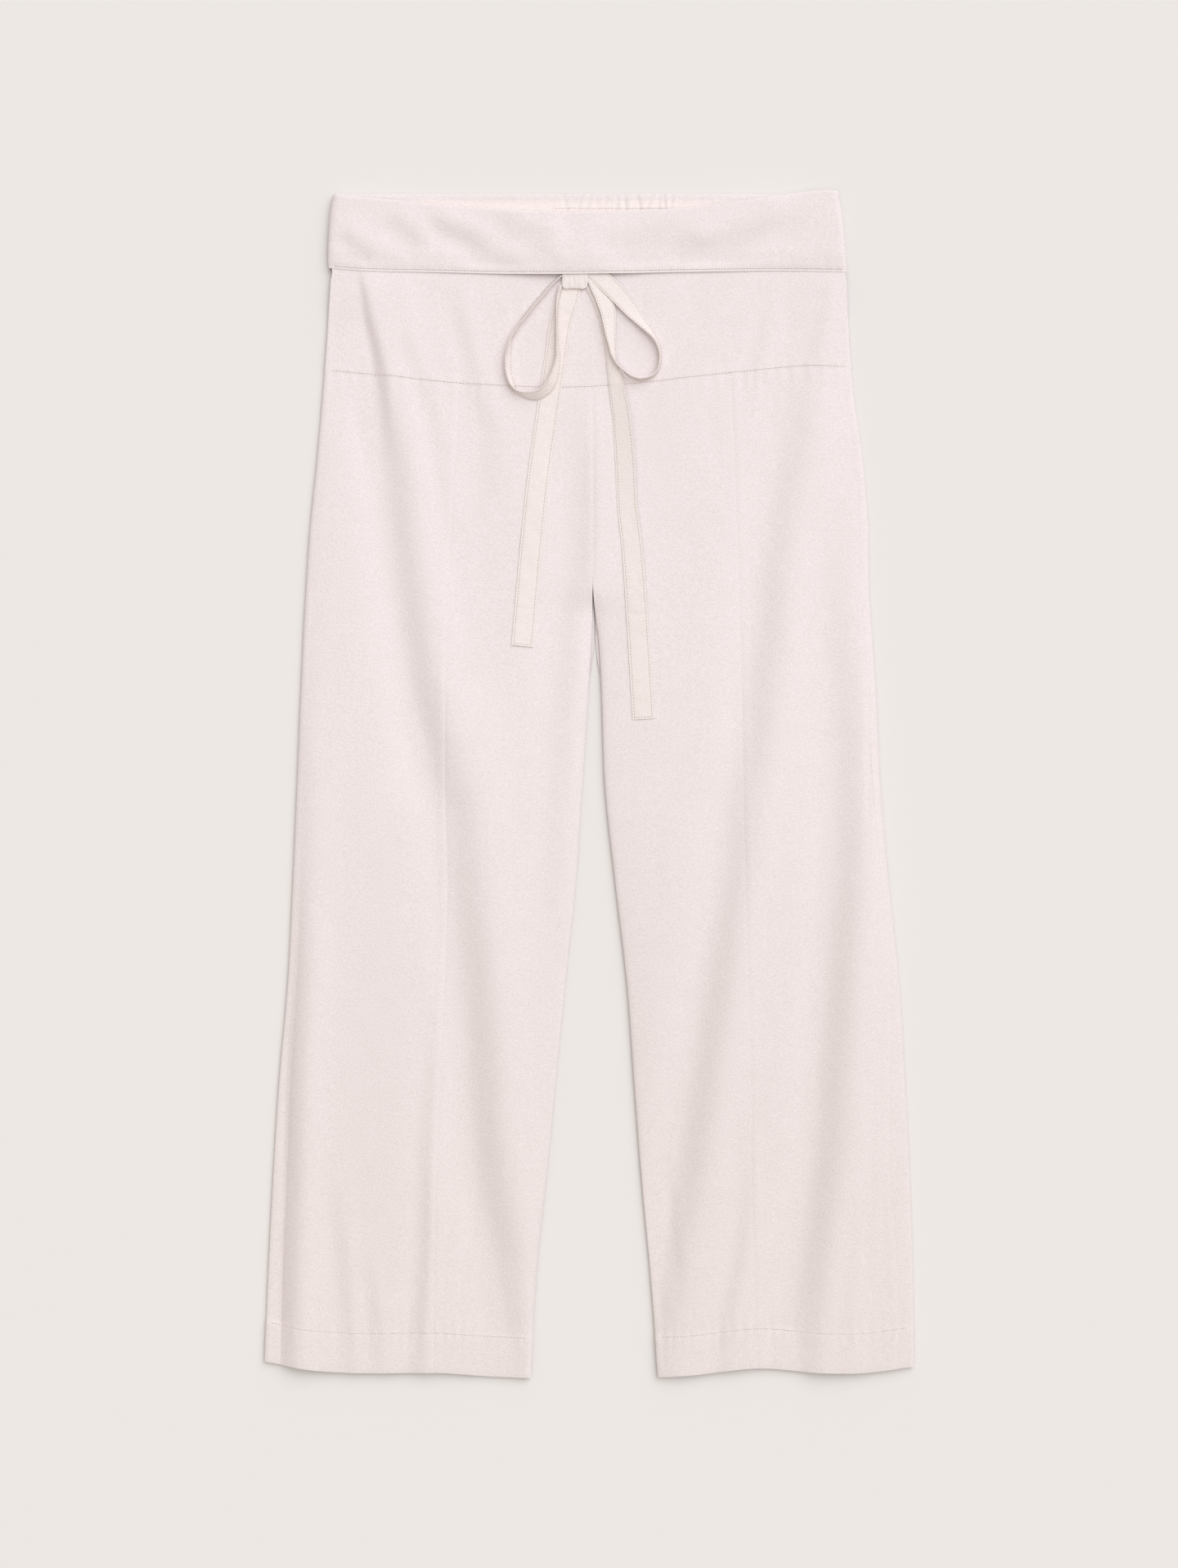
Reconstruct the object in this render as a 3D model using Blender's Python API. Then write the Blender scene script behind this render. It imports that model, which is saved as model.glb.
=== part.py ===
"""Thai fisherman trousers laid flat, from the pieces a maker cuts and sews.

The legs are two flat tubes of cloth. Each has two front panels and one back panel, whose outer edge
rolls over to the front. A waist panel in front and one behind stand above the curved yoke seam, and
both are folded over outwards at the top. The tie runs round under the fold and ends in a bow.

The cloth lies in the XY plane with its waist at +Y and its front at +Z. Right and left are the wearer's,
so the right leg is at -X. All sizes below are in millimetres. Widths are measured from the line
through the middle of the waist, and heights from the lowest point of the hems.
"""

from collections import namedtuple

import bpy
import numpy as np
from mathutils import Matrix, Vector

MM = 0.001

WALL = 1.1
HEM_WALL = 1.8
HEM_DEPTH = 34.0
SEAM_GAP = 0.3
ROLLED_EDGE_GAP = 1.0
BACK_YOKE_GAP = 0.9
# The least air between front and back, away from the folded top.
LEAST_SLACK = 0.95
LAYER_STEP = WALL + SEAM_GAP

# The cloth's outline and seams, one row for each height. A side seam lies this far in from the outer edge.
Section = namedtuple(
    "Section",
    "height right_outer right_side_inset right_seam right_inner"
    " left_inner left_seam left_side_inset left_outer",
)
SECTIONS = [
    Section(0, -269.8, 14.0, -129.0, -48.6, 56.7, 139.5, 14.5, 269.1),
    Section(85, -266.4, 12.5, -128.3, -43.7, 50.4, 136.8, 13.7, 268.1),
    Section(165, -262.3, 12.0, -126.9, -35.5, 43.0, 134.4, 17.2, 265.7),
    Section(245, -257.3, 10.0, -123.9, -27.8, 36.9, 133.7, 13.5, 261.7),
    Section(325, -250.2, 8.0, -120.2, -20.0, 31.1, 131.7, 8.5, 256.9),
    Section(410, -245.8, 7.0, -117.5, -11.2, 21.3, 129.3, 7.0, 248.1),
    Section(490, -242.4, 7.0, -119.2, -5.8, 12.8, 127.6, 7.0, 241.3),
    Section(572, -239.0, 7.0, -119.0, -0.3, 9.8, 126.3, 7.0, 237.3),
    Section(615, -237.0, 7.0, -118.3, 2.0, 7.1, 125.2, 7.0, 234.4),
    Section(646, -235.3, 7.0, -117.5, 2.9, 3.2, 124.2, 7.0, 232.2),
    Section(707, -231.2, 7.0, -114.4, 3.5, 3.8, 122.2, 7.0, 231.0),
    Section(760, -225.8, 7.0, -111.0, 3.3, 3.6, 120.2, 7.0, 226.5),
    Section(815, -221.0, 7.0, -108.0, 2.4, 2.7, 117.7, 7.0, 219.0),
    Section(860, -217.6, 7.0, -106.0, 2.0, 2.3, 116.0, 7.0, 215.6),
    Section(910, -214.4, 7.0, -104.0, 2.0, 2.3, 115.0, 7.0, 212.9),
]

# The folded-over cloth's side edges.
FlapEdge = namedtuple("FlapEdge", "height right left")
FLAP_EDGES = [
    FlapEdge(912, -215.2, 213.6),
    FlapEdge(925, -216.4, 212.6),
    FlapEdge(945, -216.0, 211.0),
    FlapEdge(962, -214.8, 209.3),
    FlapEdge(984, -211.2, 205.6),
]

# Lines that run across the garment, as a height at each width.
Mark = namedtuple("Mark", "width height")
YOKE_SEAM = [
    Mark(-219, 832.9), Mark(-173, 828.6), Mark(-121, 822.9), Mark(-66, 819.5), Mark(-14, 818.5),
    Mark(27, 820.7), Mark(94, 828.0), Mark(134, 832.2), Mark(183, 836.4), Mark(218, 835.4),
]
FRONT_CREST = [
    Mark(-216, 979.8), Mark(-166, 975.6), Mark(-133, 972.2), Mark(-84, 968.4), Mark(-46, 965.7),
    Mark(12, 966.1), Mark(72, 968.1), Mark(127, 974.9), Mark(157, 978.9), Mark(197, 983.2),
    Mark(213, 982.4),
]
FLAP_HEM = [
    Mark(-215, 918.7), Mark(-192, 916.7), Mark(-137, 915.3), Mark(-24, 913.3), Mark(84, 915.3),
    Mark(167, 916.3), Mark(214, 915.6),
]
RIGHT_HEM = [
    Mark(-270, 13.9), Mark(-224, 6.3), Mark(-152, 4.4), Mark(-129, 4.7), Mark(-85, 1.6), Mark(-48, 0.1),
]
LEFT_HEM = [
    Mark(56, 0.7), Mark(86, 2.7), Mark(139, 8.1), Mark(184, 5.0), Mark(224, 4.4), Mark(269, 9.5),
]
BACK_TOP = 980.7
BACK_FLAP_HEM = 916.5
# The back leaves the table over this run below its own flap.
BACK_RISE_START = 864.5
BACK_RISE_RUN = 40.0

# How far the middle of the front cloth lies above the table, between the folds.
Loft = namedtuple("Loft", "height lift")
FRONT_LOFT = [
    Loft(0, 3.7), Loft(40, 4.3), Loft(120, 5.6), Loft(300, 6.4), Loft(600, 6.6), Loft(760, 6.4),
    Loft(850, 6.0), Loft(900, 5.6), Loft(925, 4.9), Loft(985, 4.8),
]
EDGE_TAPER = 0.62
EDGE_TAPER_RUN = 11.0

# Where the front and back cloth part below the crotch, and how wide their rolled edges are.
FRONT_CROTCH = 646.0
BACK_CROTCH = 615.0
CROTCH_RUN = 46.0
CENTRE_BACK = 4.5
ROLL_WIDTH = 3.6
ROLL_ANGLES = (0, 28, 56, 90)

# Long soft folds: a trough or, where its depth is above zero, a ridge along a bent line.
Fold = namedtuple("Fold", "start_x start_y bend_x bend_y end_x end_y half_width rise")
FOLDS = [
    Fold(-194, 905, -163, 745, -124, 518, 10, -1.5),
    Fold(-110, 520, -94, 330, -61, 80, 15, -2.0),
    Fold(-168, 908, -155, 872, -141, 835, 7, -0.7),
    Fold(-118, 905, -96, 850, -82, 785, 7, -0.8),
    Fold(-136, 815, -128, 768, -118, 715, 8, -0.8),
    Fold(-1, 710, -15, 610, -28, 480, 9, -1.5),
    Fold(-244, 420, -246, 230, -248, 50, 8, -1.6),
    Fold(-210, 262, -197, 165, -179, 82, 11, -0.8),
    Fold(-205, 700, -196, 520, -185, 330, 22, 1.2),
    Fold(-75, 640, -60, 420, -30, 200, 20, 1.2),
    Fold(184, 816, 131, 480, 63, 80, 13, -2.2),
    Fold(198, 740, 229, 420, 182, 50, 15, -2.2),
    Fold(124, 909, 74, 858, 53, 806, 8, -0.8),
    Fold(152, 909, 143, 875, 135, 838, 7, -0.8),
    Fold(176, 907, 169, 873, 163, 838, 7, -0.8),
    Fold(198, 909, 190, 871, 180, 833, 7, -0.8),
    Fold(160, 640, 172, 430, 150, 200, 20, 1.4),
    Fold(20, 560, 42, 380, 58, 190, 14, 0.9),
]
FLAP_FOLDS = [
    Fold(-128, 956, -102, 943, -78, 930, 8, -0.7),
    Fold(-150, 962, -139, 948, -128, 933, 7, -0.6),
    Fold(-207, 949, -189, 938, -169, 927, 8, -0.6),
    Fold(6, 940, 40, 948, 75, 955, 8, -0.6),
    Fold(90, 933, 130, 950, 169, 966, 8, -0.7),
]

# How far the loose edge of the flap stands up, at each width.
FLAP_EDGE_LIFT = [
    Loft(-216, 0.2), Loft(-150, 1.2), Loft(-100, 3.0), Loft(-50, 3.8), Loft(15, 3.4), Loft(60, 3.6),
    Loft(100, 3.4), Loft(140, 1.4), Loft(213, 0.2),
]
FLAP_LIFT_RUN = 26.0
# The waist's own layer lies this far inside the flap's side edges, from this height up.
FLAP_SIDE_INSET = 2.2
TUCK_START = 908.0
TUCK_RUN = 8.0
# Below the flap the waist's two layers roll together at the sides.
WAIST_ROLL_TOP = 900.0
WAIST_ROLL_RUN = 22.0

TIE_WIDTH = 18.0
TIE_BAND_LOW = 918.0
TIE_BAND_SIDE = 200.0
KNOT_X = -12.6
KNOT_Y = 914.5
KNOT_LENGTH = 18.2
KNOT_DEPTH = 29.6
KNOT_THICKNESS = 4.4
KNOT_CLEARANCE = 0.35
# The flap's bulge over the knot, and how square its top is.
BULGE_Y = 922.5
BULGE_HALF_WIDTH = 46.0
BULGE_HALF_DEPTH = 40.0
BULGE_SQUARENESS = 1.6
# A strip that rises less than this follows the cloth under it across its whole width.
FLAT_RISE = 6.0

# The tie's free stretches. A row gives the upper edge's place, how far the lower edge lies to the left of
# the way it runs, seen from above, how high the lower edge is lifted off the cloth, and how far the
# upper edge rises above it. The tie is drawn together where it leaves the knot.
Strip = namedtuple("Strip", "x y across lift rise")
LOOP_RIGHT = [
    Strip(-23.6, 911.6, -2.5, 1.8, 5.0),
    Strip(-38.3, 895.0, -4.2, 0.4, 10.0),
    Strip(-52.5, 879.0, -4.4, 0.0, 13.5),
    Strip(-62.8, 863.0, -1.5, 0.0, 15.5),
    Strip(-69.4, 844.0, 5.8, 0.0, 15.5),
    Strip(-66.0, 828.0, 4.0, 0.2, 15.5),
    Strip(-58.0, 817.0, -3.5, 1.2, 15.0),
    Strip(-47.4, 816.3, -6.6, 2.2, 14.5),
    Strip(-36.0, 820.5, -7.0, 2.2, 14.5),
    Strip(-28.2, 831.5, -5.6, 2.2, 14.5),
    Strip(-26.4, 852.7, -4.0, 2.2, 13.5),
    Strip(-26.6, 876.0, -3.2, 2.2, 11.0),
    Strip(-25.6, 895.0, -2.4, 2.2, 7.0),
]
LOOP_LEFT = [
    Strip(-2.0, 911.4, 12.5, 1.8, 2.0),
    Strip(10.0, 899.5, 14.0, 1.2, 4.0),
    Strip(22.0, 887.6, 15.0, 0.6, 6.0),
    Strip(37.0, 874.4, 14.0, 0.2, 8.5),
    Strip(50.0, 862.8, 8.0, 0.0, 13.0),
    Strip(57.4, 848.5, 3.0, 0.0, 15.5),
    Strip(55.4, 832.5, 2.0, 0.2, 15.5),
    Strip(43.6, 825.2, 1.8, 0.6, 15.0),
    Strip(31.8, 831.2, -3.5, 1.8, 14.5),
    Strip(21.0, 841.6, -8.0, 2.0, 13.5),
    Strip(13.7, 857.8, -10.6, 2.0, 12.0),
    Strip(9.2, 879.6, -10.8, 2.0, 9.0),
    Strip(0.4, 904.0, -6.0, 2.0, 5.0),
]
TAIL_RIGHT = [
    Strip(-25.0, 898.6, 17.9, 0.0, 0.0),
    Strip(-31.5, 880.0, 17.9, 0.0, 0.0),
    Strip(-37.0, 845.0, 18.0, 0.0, 0.0),
    Strip(-43.0, 804.3, 18.0, 0.0, 0.0),
    Strip(-51.8, 741.3, 18.0, 0.0, 0.0),
    Strip(-57.0, 690.0, 18.0, 0.0, 0.0),
    Strip(-64.5, 606.6, 18.0, 0.0, 0.0),
]
TAIL_LEFT = [
    Strip(-2.2, 900.0, 7.5, 0.0, 0.0),
    Strip(6.5, 878.0, 8.5, 0.0, 0.0),
    Strip(13.0, 850.0, 8.5, 0.0, 0.6),
    Strip(15.5, 826.0, 11.5, 0.0, 2.4),
    Strip(18.5, 800.0, 14.5, 0.0, 3.6),
    Strip(21.2, 765.0, 16.0, 0.0, 3.0),
    Strip(23.0, 722.0, 16.4, 0.0, 2.0),
    Strip(26.5, 690.0, 17.0, 0.0, 1.2),
    Strip(30.3, 635.0, 17.8, 0.0, 0.4),
    Strip(35.8, 545.0, 18.0, 0.0, 0.0),
]

CLOTH_COLOUR = (0.86, 0.77, 0.76, 1.0)
TIE_COLOUR = (0.87, 0.79, 0.76, 1.0)
CLOTH_ROUGHNESS = 0.9

HEM_ROWS = (0.0, 0.02, 0.041, 0.051)
EVEN_ROWS = 19
PANEL_COLUMNS = 9
BACK_COLUMNS = 4
WRAP_STEPS = 6
CREST_STEPS = 6


def clear_scene():
    for thing in list(bpy.data.objects):
        bpy.data.objects.remove(thing, do_unlink=True)


def smooth(table, places):
    """A value for each place, on a smooth curve through a table's first and second columns."""
    knots = np.array([row[0] for row in table], float)
    values = np.array([row[1] for row in table], float)
    places = np.clip(np.asarray(places, float), knots[0], knots[-1])
    slopes = np.gradient(values, knots)
    first = np.clip(np.searchsorted(knots, places) - 1, 0, len(knots) - 2)
    span = knots[first + 1] - knots[first]
    t = (places - knots[first]) / span
    start = (1 + 2 * t) * (1 - t) ** 2 * values[first] + t * (1 - t) ** 2 * span * slopes[first]
    end = t * t * (3 - 2 * t) * values[first + 1] + t * t * (t - 1) * span * slopes[first + 1]
    return start + end


def section(column, heights):
    return smooth([(row.height, getattr(row, column)) for row in SECTIONS], heights)


def ease(value):
    """From 0 to 1, level at both ends."""
    value = np.clip(value, 0.0, 1.0)
    return value * value * (3 - 2 * value)


def fold_relief(folds, x, y):
    """How far the folds raise or lower the cloth at each point."""
    relief = np.zeros(np.shape(x))
    for fold in folds:
        t = np.linspace(0, 1, 25)
        line_x = (1 - t) ** 2 * fold.start_x + 2 * t * (1 - t) * fold.bend_x + t * t * fold.end_x
        line_y = (1 - t) ** 2 * fold.start_y + 2 * t * (1 - t) * fold.bend_y + t * t * fold.end_y
        away = np.hypot(x[..., None] - line_x, y[..., None] - line_y)
        nearest = away.argmin(axis=-1)
        along = t[nearest]
        ends = ease(along / 0.18) * ease((1 - along) / 0.18)
        relief += fold.rise * ends * np.exp(-((away.min(axis=-1) / fold.half_width) ** 2))
    return relief


def half_wall(side, x, y):
    """Half the cloth's thickness, which grows where the hem is turned up."""
    hem = smooth(LEFT_HEM if side == "left" else RIGHT_HEM, x)
    inside_hem = ease((hem + HEM_DEPTH + 2 - y) / 4)
    return (WALL + (HEM_WALL - WALL) * inside_hem) / 2


def on_back_flap(y):
    """From 0 where the back lies on the table to 1 where it lies on its own flap and the tie."""
    return ease((y - BACK_RISE_START) / BACK_RISE_RUN)


def back_height(side, x, y):
    """The middle of the back cloth, which lies on the table up to its folded top."""
    return half_wall(side, x, y) + on_back_flap(y) * 2 * LAYER_STEP


def lowest_front(side, x, y):
    """The lowest that the middle of the front cloth may lie over the back."""
    slack = LEAST_SLACK * (1 - on_back_flap(y))
    return back_height(side, x, y) + 2 * half_wall(side, x, y) + SEAM_GAP + slack


def front_height(side, x, y):
    """The middle of the front cloth above the table, before its edges roll down."""
    outer = section(side + "_outer", y)
    inner = section(side + "_inner", y)
    opened = ease((FRONT_CROTCH - y) / CROTCH_RUN)
    thinning = np.exp(-abs(x - outer) / EDGE_TAPER_RUN)
    thinning = thinning + opened * np.exp(-abs(x - inner) / EDGE_TAPER_RUN)
    lowest = lowest_front(side, x, y)
    puff = smooth(FRONT_LOFT, y) + fold_relief(FOLDS, x, y) - lowest
    return lowest + np.maximum(puff, 0) * (1 - EDGE_TAPER * thinning)


def rolled(height, meeting, distance, amount):
    """A height that runs down, or up, to where the two layers meet at the cloth's edge."""
    inward = np.clip(1 - distance / ROLL_WIDTH, 0, 1)
    return height + amount * (meeting - height) * (1 - np.sqrt(1 - inward * inward))


def meeting_height(side, x, y, above):
    middle = (front_height(side, x, y) + back_height(side, x, y)) / 2
    gap = ROLLED_EDGE_GAP + 2 * half_wall(side, x, y) - WALL
    return middle + (gap / 2 if above else -gap / 2)


def panel_material(name, colour):
    material = bpy.data.materials.new(name)
    material.use_nodes = True
    shader = material.node_tree.nodes["Principled BSDF"]
    shader.inputs["Base Color"].default_value = colour
    shader.inputs["Roughness"].default_value = CLOTH_ROUGHNESS
    shader.inputs["Metallic"].default_value = 0.0
    return material


def make_object(name, mesh, colour):
    mesh.materials.append(panel_material(name, colour))
    mesh.shade_smooth()
    made = bpy.data.objects.new(name, mesh)
    bpy.context.scene.collection.objects.link(made)
    return made


def sheet_of_cloth(name, grid, colour, thick_rows=None):
    """A closed wall round the middle layer given by a grid of points, in rows and columns."""
    rows, columns, _ = grid.shape
    faces = []
    for i in range(rows - 1):
        for j in range(columns - 1):
            corner = i * columns + j
            faces.append((corner, corner + 1, corner + columns + 1, corner + columns))
    mesh = bpy.data.meshes.new(name)
    mesh.from_pydata((grid.reshape(-1, 3) * MM).tolist(), [], faces)
    made = make_object(name, mesh, colour)
    wall = made.modifiers.new("wall", "SOLIDIFY")
    wall.offset = 0
    wall.use_even_offset = True
    wall.use_quality_normals = True
    wall.thickness = WALL * MM
    if thick_rows is not None:
        wall.thickness = HEM_WALL * MM
        group = made.vertex_groups.new(name="hem")
        for index, share in enumerate(thick_rows.reshape(-1)):
            group.add([index], float(share), "REPLACE")
        wall.vertex_group = group.name
        wall.thickness_vertex_group = WALL / HEM_WALL
    return made


def edge_columns(count):
    """Distances in from a rolled edge, then even shares of what is left of the panel."""
    near = ROLL_WIDTH * (1 - np.cos(np.radians(ROLL_ANGLES)))
    shares = np.linspace(0, 1, count + 1)[1:]
    return near, shares


def length_rows():
    """Shares of a leg's length, closer together in the turned-up hem."""
    return np.concatenate([HEM_ROWS, np.linspace(0.09, 1.0, EVEN_ROWS)])


def hem_line(side, x):
    return smooth(LEFT_HEM if side == "left" else RIGHT_HEM, x)


def between_hem_and_yoke(side, place_x, shares, columns):
    """Points spread from the hem to the yoke seam. place_x gives each column's width at its height."""
    y = np.repeat(np.asarray(shares)[:, None], columns, axis=1) * 800
    for _ in range(6):
        x = place_x(y)
        low = hem_line(side, x)
        high = smooth(YOKE_SEAM, x) - SEAM_GAP / 2
        y = low + (high - low) * np.asarray(shares)[:, None]
    return place_x(y), y


def thickened(side, x, y):
    return (2 * half_wall(side, x, y) - WALL) / (HEM_WALL - WALL)


def front_inner_panel(side):
    """The front panel between the lengthwise seam and the inside leg."""
    way = -1 if side == "right" else 1
    near, shares = edge_columns(PANEL_COLUMNS)

    def place_x(y):
        inner = section(side + "_inner", y)
        seam = section(side + "_seam", y) - way * SEAM_GAP / 2
        last = inner + way * (near[-1] + WALL / 2)
        columns = [inner[:, j] + way * (near[j] + WALL / 2) for j in range(len(near))]
        for j, share in enumerate(shares):
            column = len(near) + j
            columns.append(last[:, column] + share * (seam[:, column] - last[:, column]))
        return np.stack(columns, axis=1)

    x, y = between_hem_and_yoke(side, place_x, length_rows(), len(near) + len(shares))
    distance = abs(x - section(side + "_inner", y)) - WALL / 2
    opened = ease((FRONT_CROTCH - y) / CROTCH_RUN)
    z = rolled(front_height(side, x, y), meeting_height(side, x, y, True), distance, opened)
    return sheet_of_cloth(
        "front_inner_" + side, np.stack([x, y, z], axis=-1), CLOTH_COLOUR, thickened(side, x, y)
    )


def front_outer_panel(side):
    """The front panel between the lengthwise seam and the side seam."""
    way = -1 if side == "right" else 1
    shares = np.linspace(0, 1, PANEL_COLUMNS + 1)

    def place_x(y):
        seam = section(side + "_seam", y) + way * SEAM_GAP / 2
        edge = section(side + "_outer", y) - way * section(side + "_side_inset", y)
        edge = edge - way * SEAM_GAP / 2
        return seam + shares * (edge - seam)

    x, y = between_hem_and_yoke(side, place_x, length_rows(), len(shares))
    z = front_height(side, x, y)
    return sheet_of_cloth(
        "front_outer_" + side, np.stack([x, y, z], axis=-1), CLOTH_COLOUR, thickened(side, x, y)
    )


def back_panel(side):
    """The back of a leg, flat on the table, rolled up round the outer edge to the side seam."""
    way = -1 if side == "right" else 1
    near, shares = edge_columns(BACK_COLUMNS)
    angles = np.radians(np.linspace(-90, 90, WRAP_STEPS + 1))[1:]
    flat_columns = len(near) + len(shares)
    columns = flat_columns + len(angles) + 1

    def inner_edge(y):
        follows = ease((BACK_CROTCH - y) / CROTCH_RUN)
        seam = CENTRE_BACK + way * SEAM_GAP / 2
        return seam + follows * (section(side + "_inner", y) - seam)

    def place_x(y):
        inner = inner_edge(y)
        outer = section(side + "_outer", y) - way * WALL / 2
        turn = outer - way * ROLL_WIDTH
        found = [inner[:, j] + way * (near[j] + WALL / 2) for j in range(len(near))]
        last = inner + way * (near[-1] + WALL / 2)
        for j, share in enumerate(shares):
            column = len(near) + j
            found.append(last[:, column] + share * (turn[:, column] - last[:, column]))
        for j, angle in enumerate(angles):
            column = flat_columns + j
            found.append(turn[:, column] + way * ROLL_WIDTH * np.cos(angle))
        inset = section(side + "_side_inset", y[:, -1]) - SEAM_GAP / 2
        found.append(section(side + "_outer", y[:, -1]) - way * inset)
        return np.stack(found, axis=1)

    x, y = between_hem_and_yoke(side, place_x, length_rows(), columns)
    distance = abs(x - inner_edge(y)) - WALL / 2
    opened = ease((BACK_CROTCH - y) / CROTCH_RUN)
    low = back_height(side, x, y)
    z = rolled(low, meeting_height(side, x, y, False), distance, opened)
    top = front_height(side, x, y)
    for j, angle in enumerate(angles):
        column = flat_columns + j
        share = (1 + np.sin(angle)) / 2
        z[:, column] = low[:, column] + share * (top[:, column] - low[:, column])
    z[:, -1] = top[:, -1]
    return sheet_of_cloth(
        "back_" + side, np.stack([x, y, z], axis=-1), CLOTH_COLOUR, thickened(side, x, y)
    )


def flap_lift(x, y):
    """How far the folded-over cloth stands off the layers below it."""
    from_hem = y - smooth(FLAP_HEM, x)
    loose = smooth(FLAP_EDGE_LIFT, x) * ease(1 - from_hem / FLAP_LIFT_RUN)
    knot_top = KNOT_THICKNESS + 2 * KNOT_CLEARANCE
    spread = ((x - KNOT_X) / BULGE_HALF_WIDTH) ** 2 + ((y - BULGE_Y) / BULGE_HALF_DEPTH) ** 2
    over_knot = knot_top * np.exp(-(spread**BULGE_SQUARENESS))
    return np.maximum(loose, over_knot)


def waist_columns(low_edge, high_edge, count):
    """Widths from one side edge to the other, closer together at both rolled edges."""
    near, _ = edge_columns(1)
    inner = np.linspace(0, 1, count + 2)[1:-1]
    low = low_edge + WALL / 2 + near
    high = high_edge - WALL / 2 - near[::-1]
    middle = low[..., -1:] + inner * (high[..., :1] - low[..., -1:])
    return np.concatenate([low, middle, high], axis=-1)


def flap_edges(y):
    right = smooth([(row.height, row.right) for row in FLAP_EDGES], y)
    left = smooth([(row.height, row.left) for row in FLAP_EDGES], y)
    return right, left


def main_edges(y):
    """The side edges of the waist's own layer, which tucks in under the flap."""
    right = section("right_outer", y)
    left = section("left_outer", y)
    flap_right, flap_left = flap_edges(y)
    under = ease((y - TUCK_START) / TUCK_RUN)
    tucked_right = right + under * (flap_right + FLAP_SIDE_INSET - right)
    tucked_left = left + under * (flap_left - FLAP_SIDE_INSET - left)
    return tucked_right, tucked_left


def spread_rows(edges, top_of, bottom_of, shares, count):
    """Points for rows between two lines across the waist, inside the given side edges."""
    y = np.full((len(shares), count + 2 * len(ROLL_ANGLES)), float(TUCK_START))
    for _ in range(5):
        right, left = edges(y[:, :1])
        x = waist_columns(right, left, count)
        low = bottom_of(x)
        y = low + (top_of(x) - low) * np.asarray(shares)[:, None]
    return x, y


def side_distance(edges, x, y):
    right, left = edges(y)
    return np.minimum(x - right, left - x) - WALL / 2


def waist_main_height(x, y, above):
    """The waist's own layer: the front one lies on the back one and both roll together at the sides."""
    front = np.where(x < 0, front_height("right", x, y), front_height("left", x, y))
    back = np.where(x < 0, back_height("right", x, y), back_height("left", x, y))
    meeting = (front + back) / 2 + (ROLLED_EDGE_GAP / 2 if above else -ROLLED_EDGE_GAP / 2)
    amount = ease((WAIST_ROLL_TOP - y) / WAIST_ROLL_RUN)
    distance = side_distance(main_edges, x, y)
    return rolled(front if above else back, meeting, distance, amount)


def waist_flap_height(x, y, above):
    """The folded-over layer, outside the tie, rolled round the sides to meet the other waist panel."""
    front = np.where(x < 0, front_height("right", x, y), front_height("left", x, y))
    middle = front - LAYER_STEP / 2
    distance = side_distance(flap_edges, x, y)
    if above:
        flap = front + 2 * LAYER_STEP + flap_lift(x, y) + fold_relief(FLAP_FOLDS, x, y)
        return rolled(flap, middle + ROLLED_EDGE_GAP / 2, distance, 1.0)
    return rolled(np.full(x.shape, WALL / 2), middle - ROLLED_EDGE_GAP / 2, distance, 1.0)


def waist_panel(name, above, columns, main_rows, flap_rows):
    """A waist panel from the yoke seam up, over the crest and down again on the outside."""

    def crest(x):
        return smooth(FRONT_CREST, x) if above else np.full(x.shape, BACK_TOP)

    def flap_hem(x):
        return smooth(FLAP_HEM, x) if above else np.full(x.shape, BACK_FLAP_HEM)

    radius = LAYER_STEP

    def yoke(x):
        return smooth(YOKE_SEAM, x) + (SEAM_GAP / 2 if above else BACK_YOKE_GAP)

    def under_crest(x):
        return crest(x) - radius - WALL / 2

    main_x, main_y = spread_rows(
        main_edges, under_crest, yoke, np.linspace(0, 1, main_rows), columns
    )
    main = np.stack([main_x, main_y, waist_main_height(main_x, main_y, above)], axis=-1)
    flap_x, flap_y = spread_rows(
        flap_edges, under_crest, flap_hem, np.linspace(1, 0, flap_rows), columns
    )
    flap = np.stack([flap_x, flap_y, waist_flap_height(flap_x, flap_y, above)], axis=-1)
    start = main[-1]
    end = flap[0]
    middle = (start + end) / 2
    half = (end - start) / 2
    turn = []
    for angle in np.linspace(0, np.pi, CREST_STEPS + 1)[1:-1]:
        point = middle - np.cos(angle) * half
        point[:, 1] += np.sin(angle) * radius
        turn.append(point)
    return sheet_of_cloth(name, np.concatenate([main, np.array(turn), flap]), CLOTH_COLOUR)


def tie_band(name, level_above):
    """A straight stretch of the tie between the waist's layers, in front or behind."""
    x = np.repeat(np.linspace(-TIE_BAND_SIDE, TIE_BAND_SIDE, 15)[None, :], 3, axis=0)
    y = TIE_BAND_LOW + np.repeat(np.linspace(0, TIE_WIDTH, 3)[:, None], 15, axis=1)
    if level_above:
        z = np.where(x < 0, front_height("right", x, y), front_height("left", x, y)) + LAYER_STEP
    else:
        z = np.full(x.shape, WALL / 2 + LAYER_STEP)
    return sheet_of_cloth(name, np.stack([x, y, z], axis=-1), TIE_COLOUR)


def cloth_top(x, y):
    """The upper face of the front cloth, whichever leg a point is on."""
    middle = np.where(x < 3, front_height("right", x, y), front_height("left", x, y))
    return middle + WALL / 2


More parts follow.
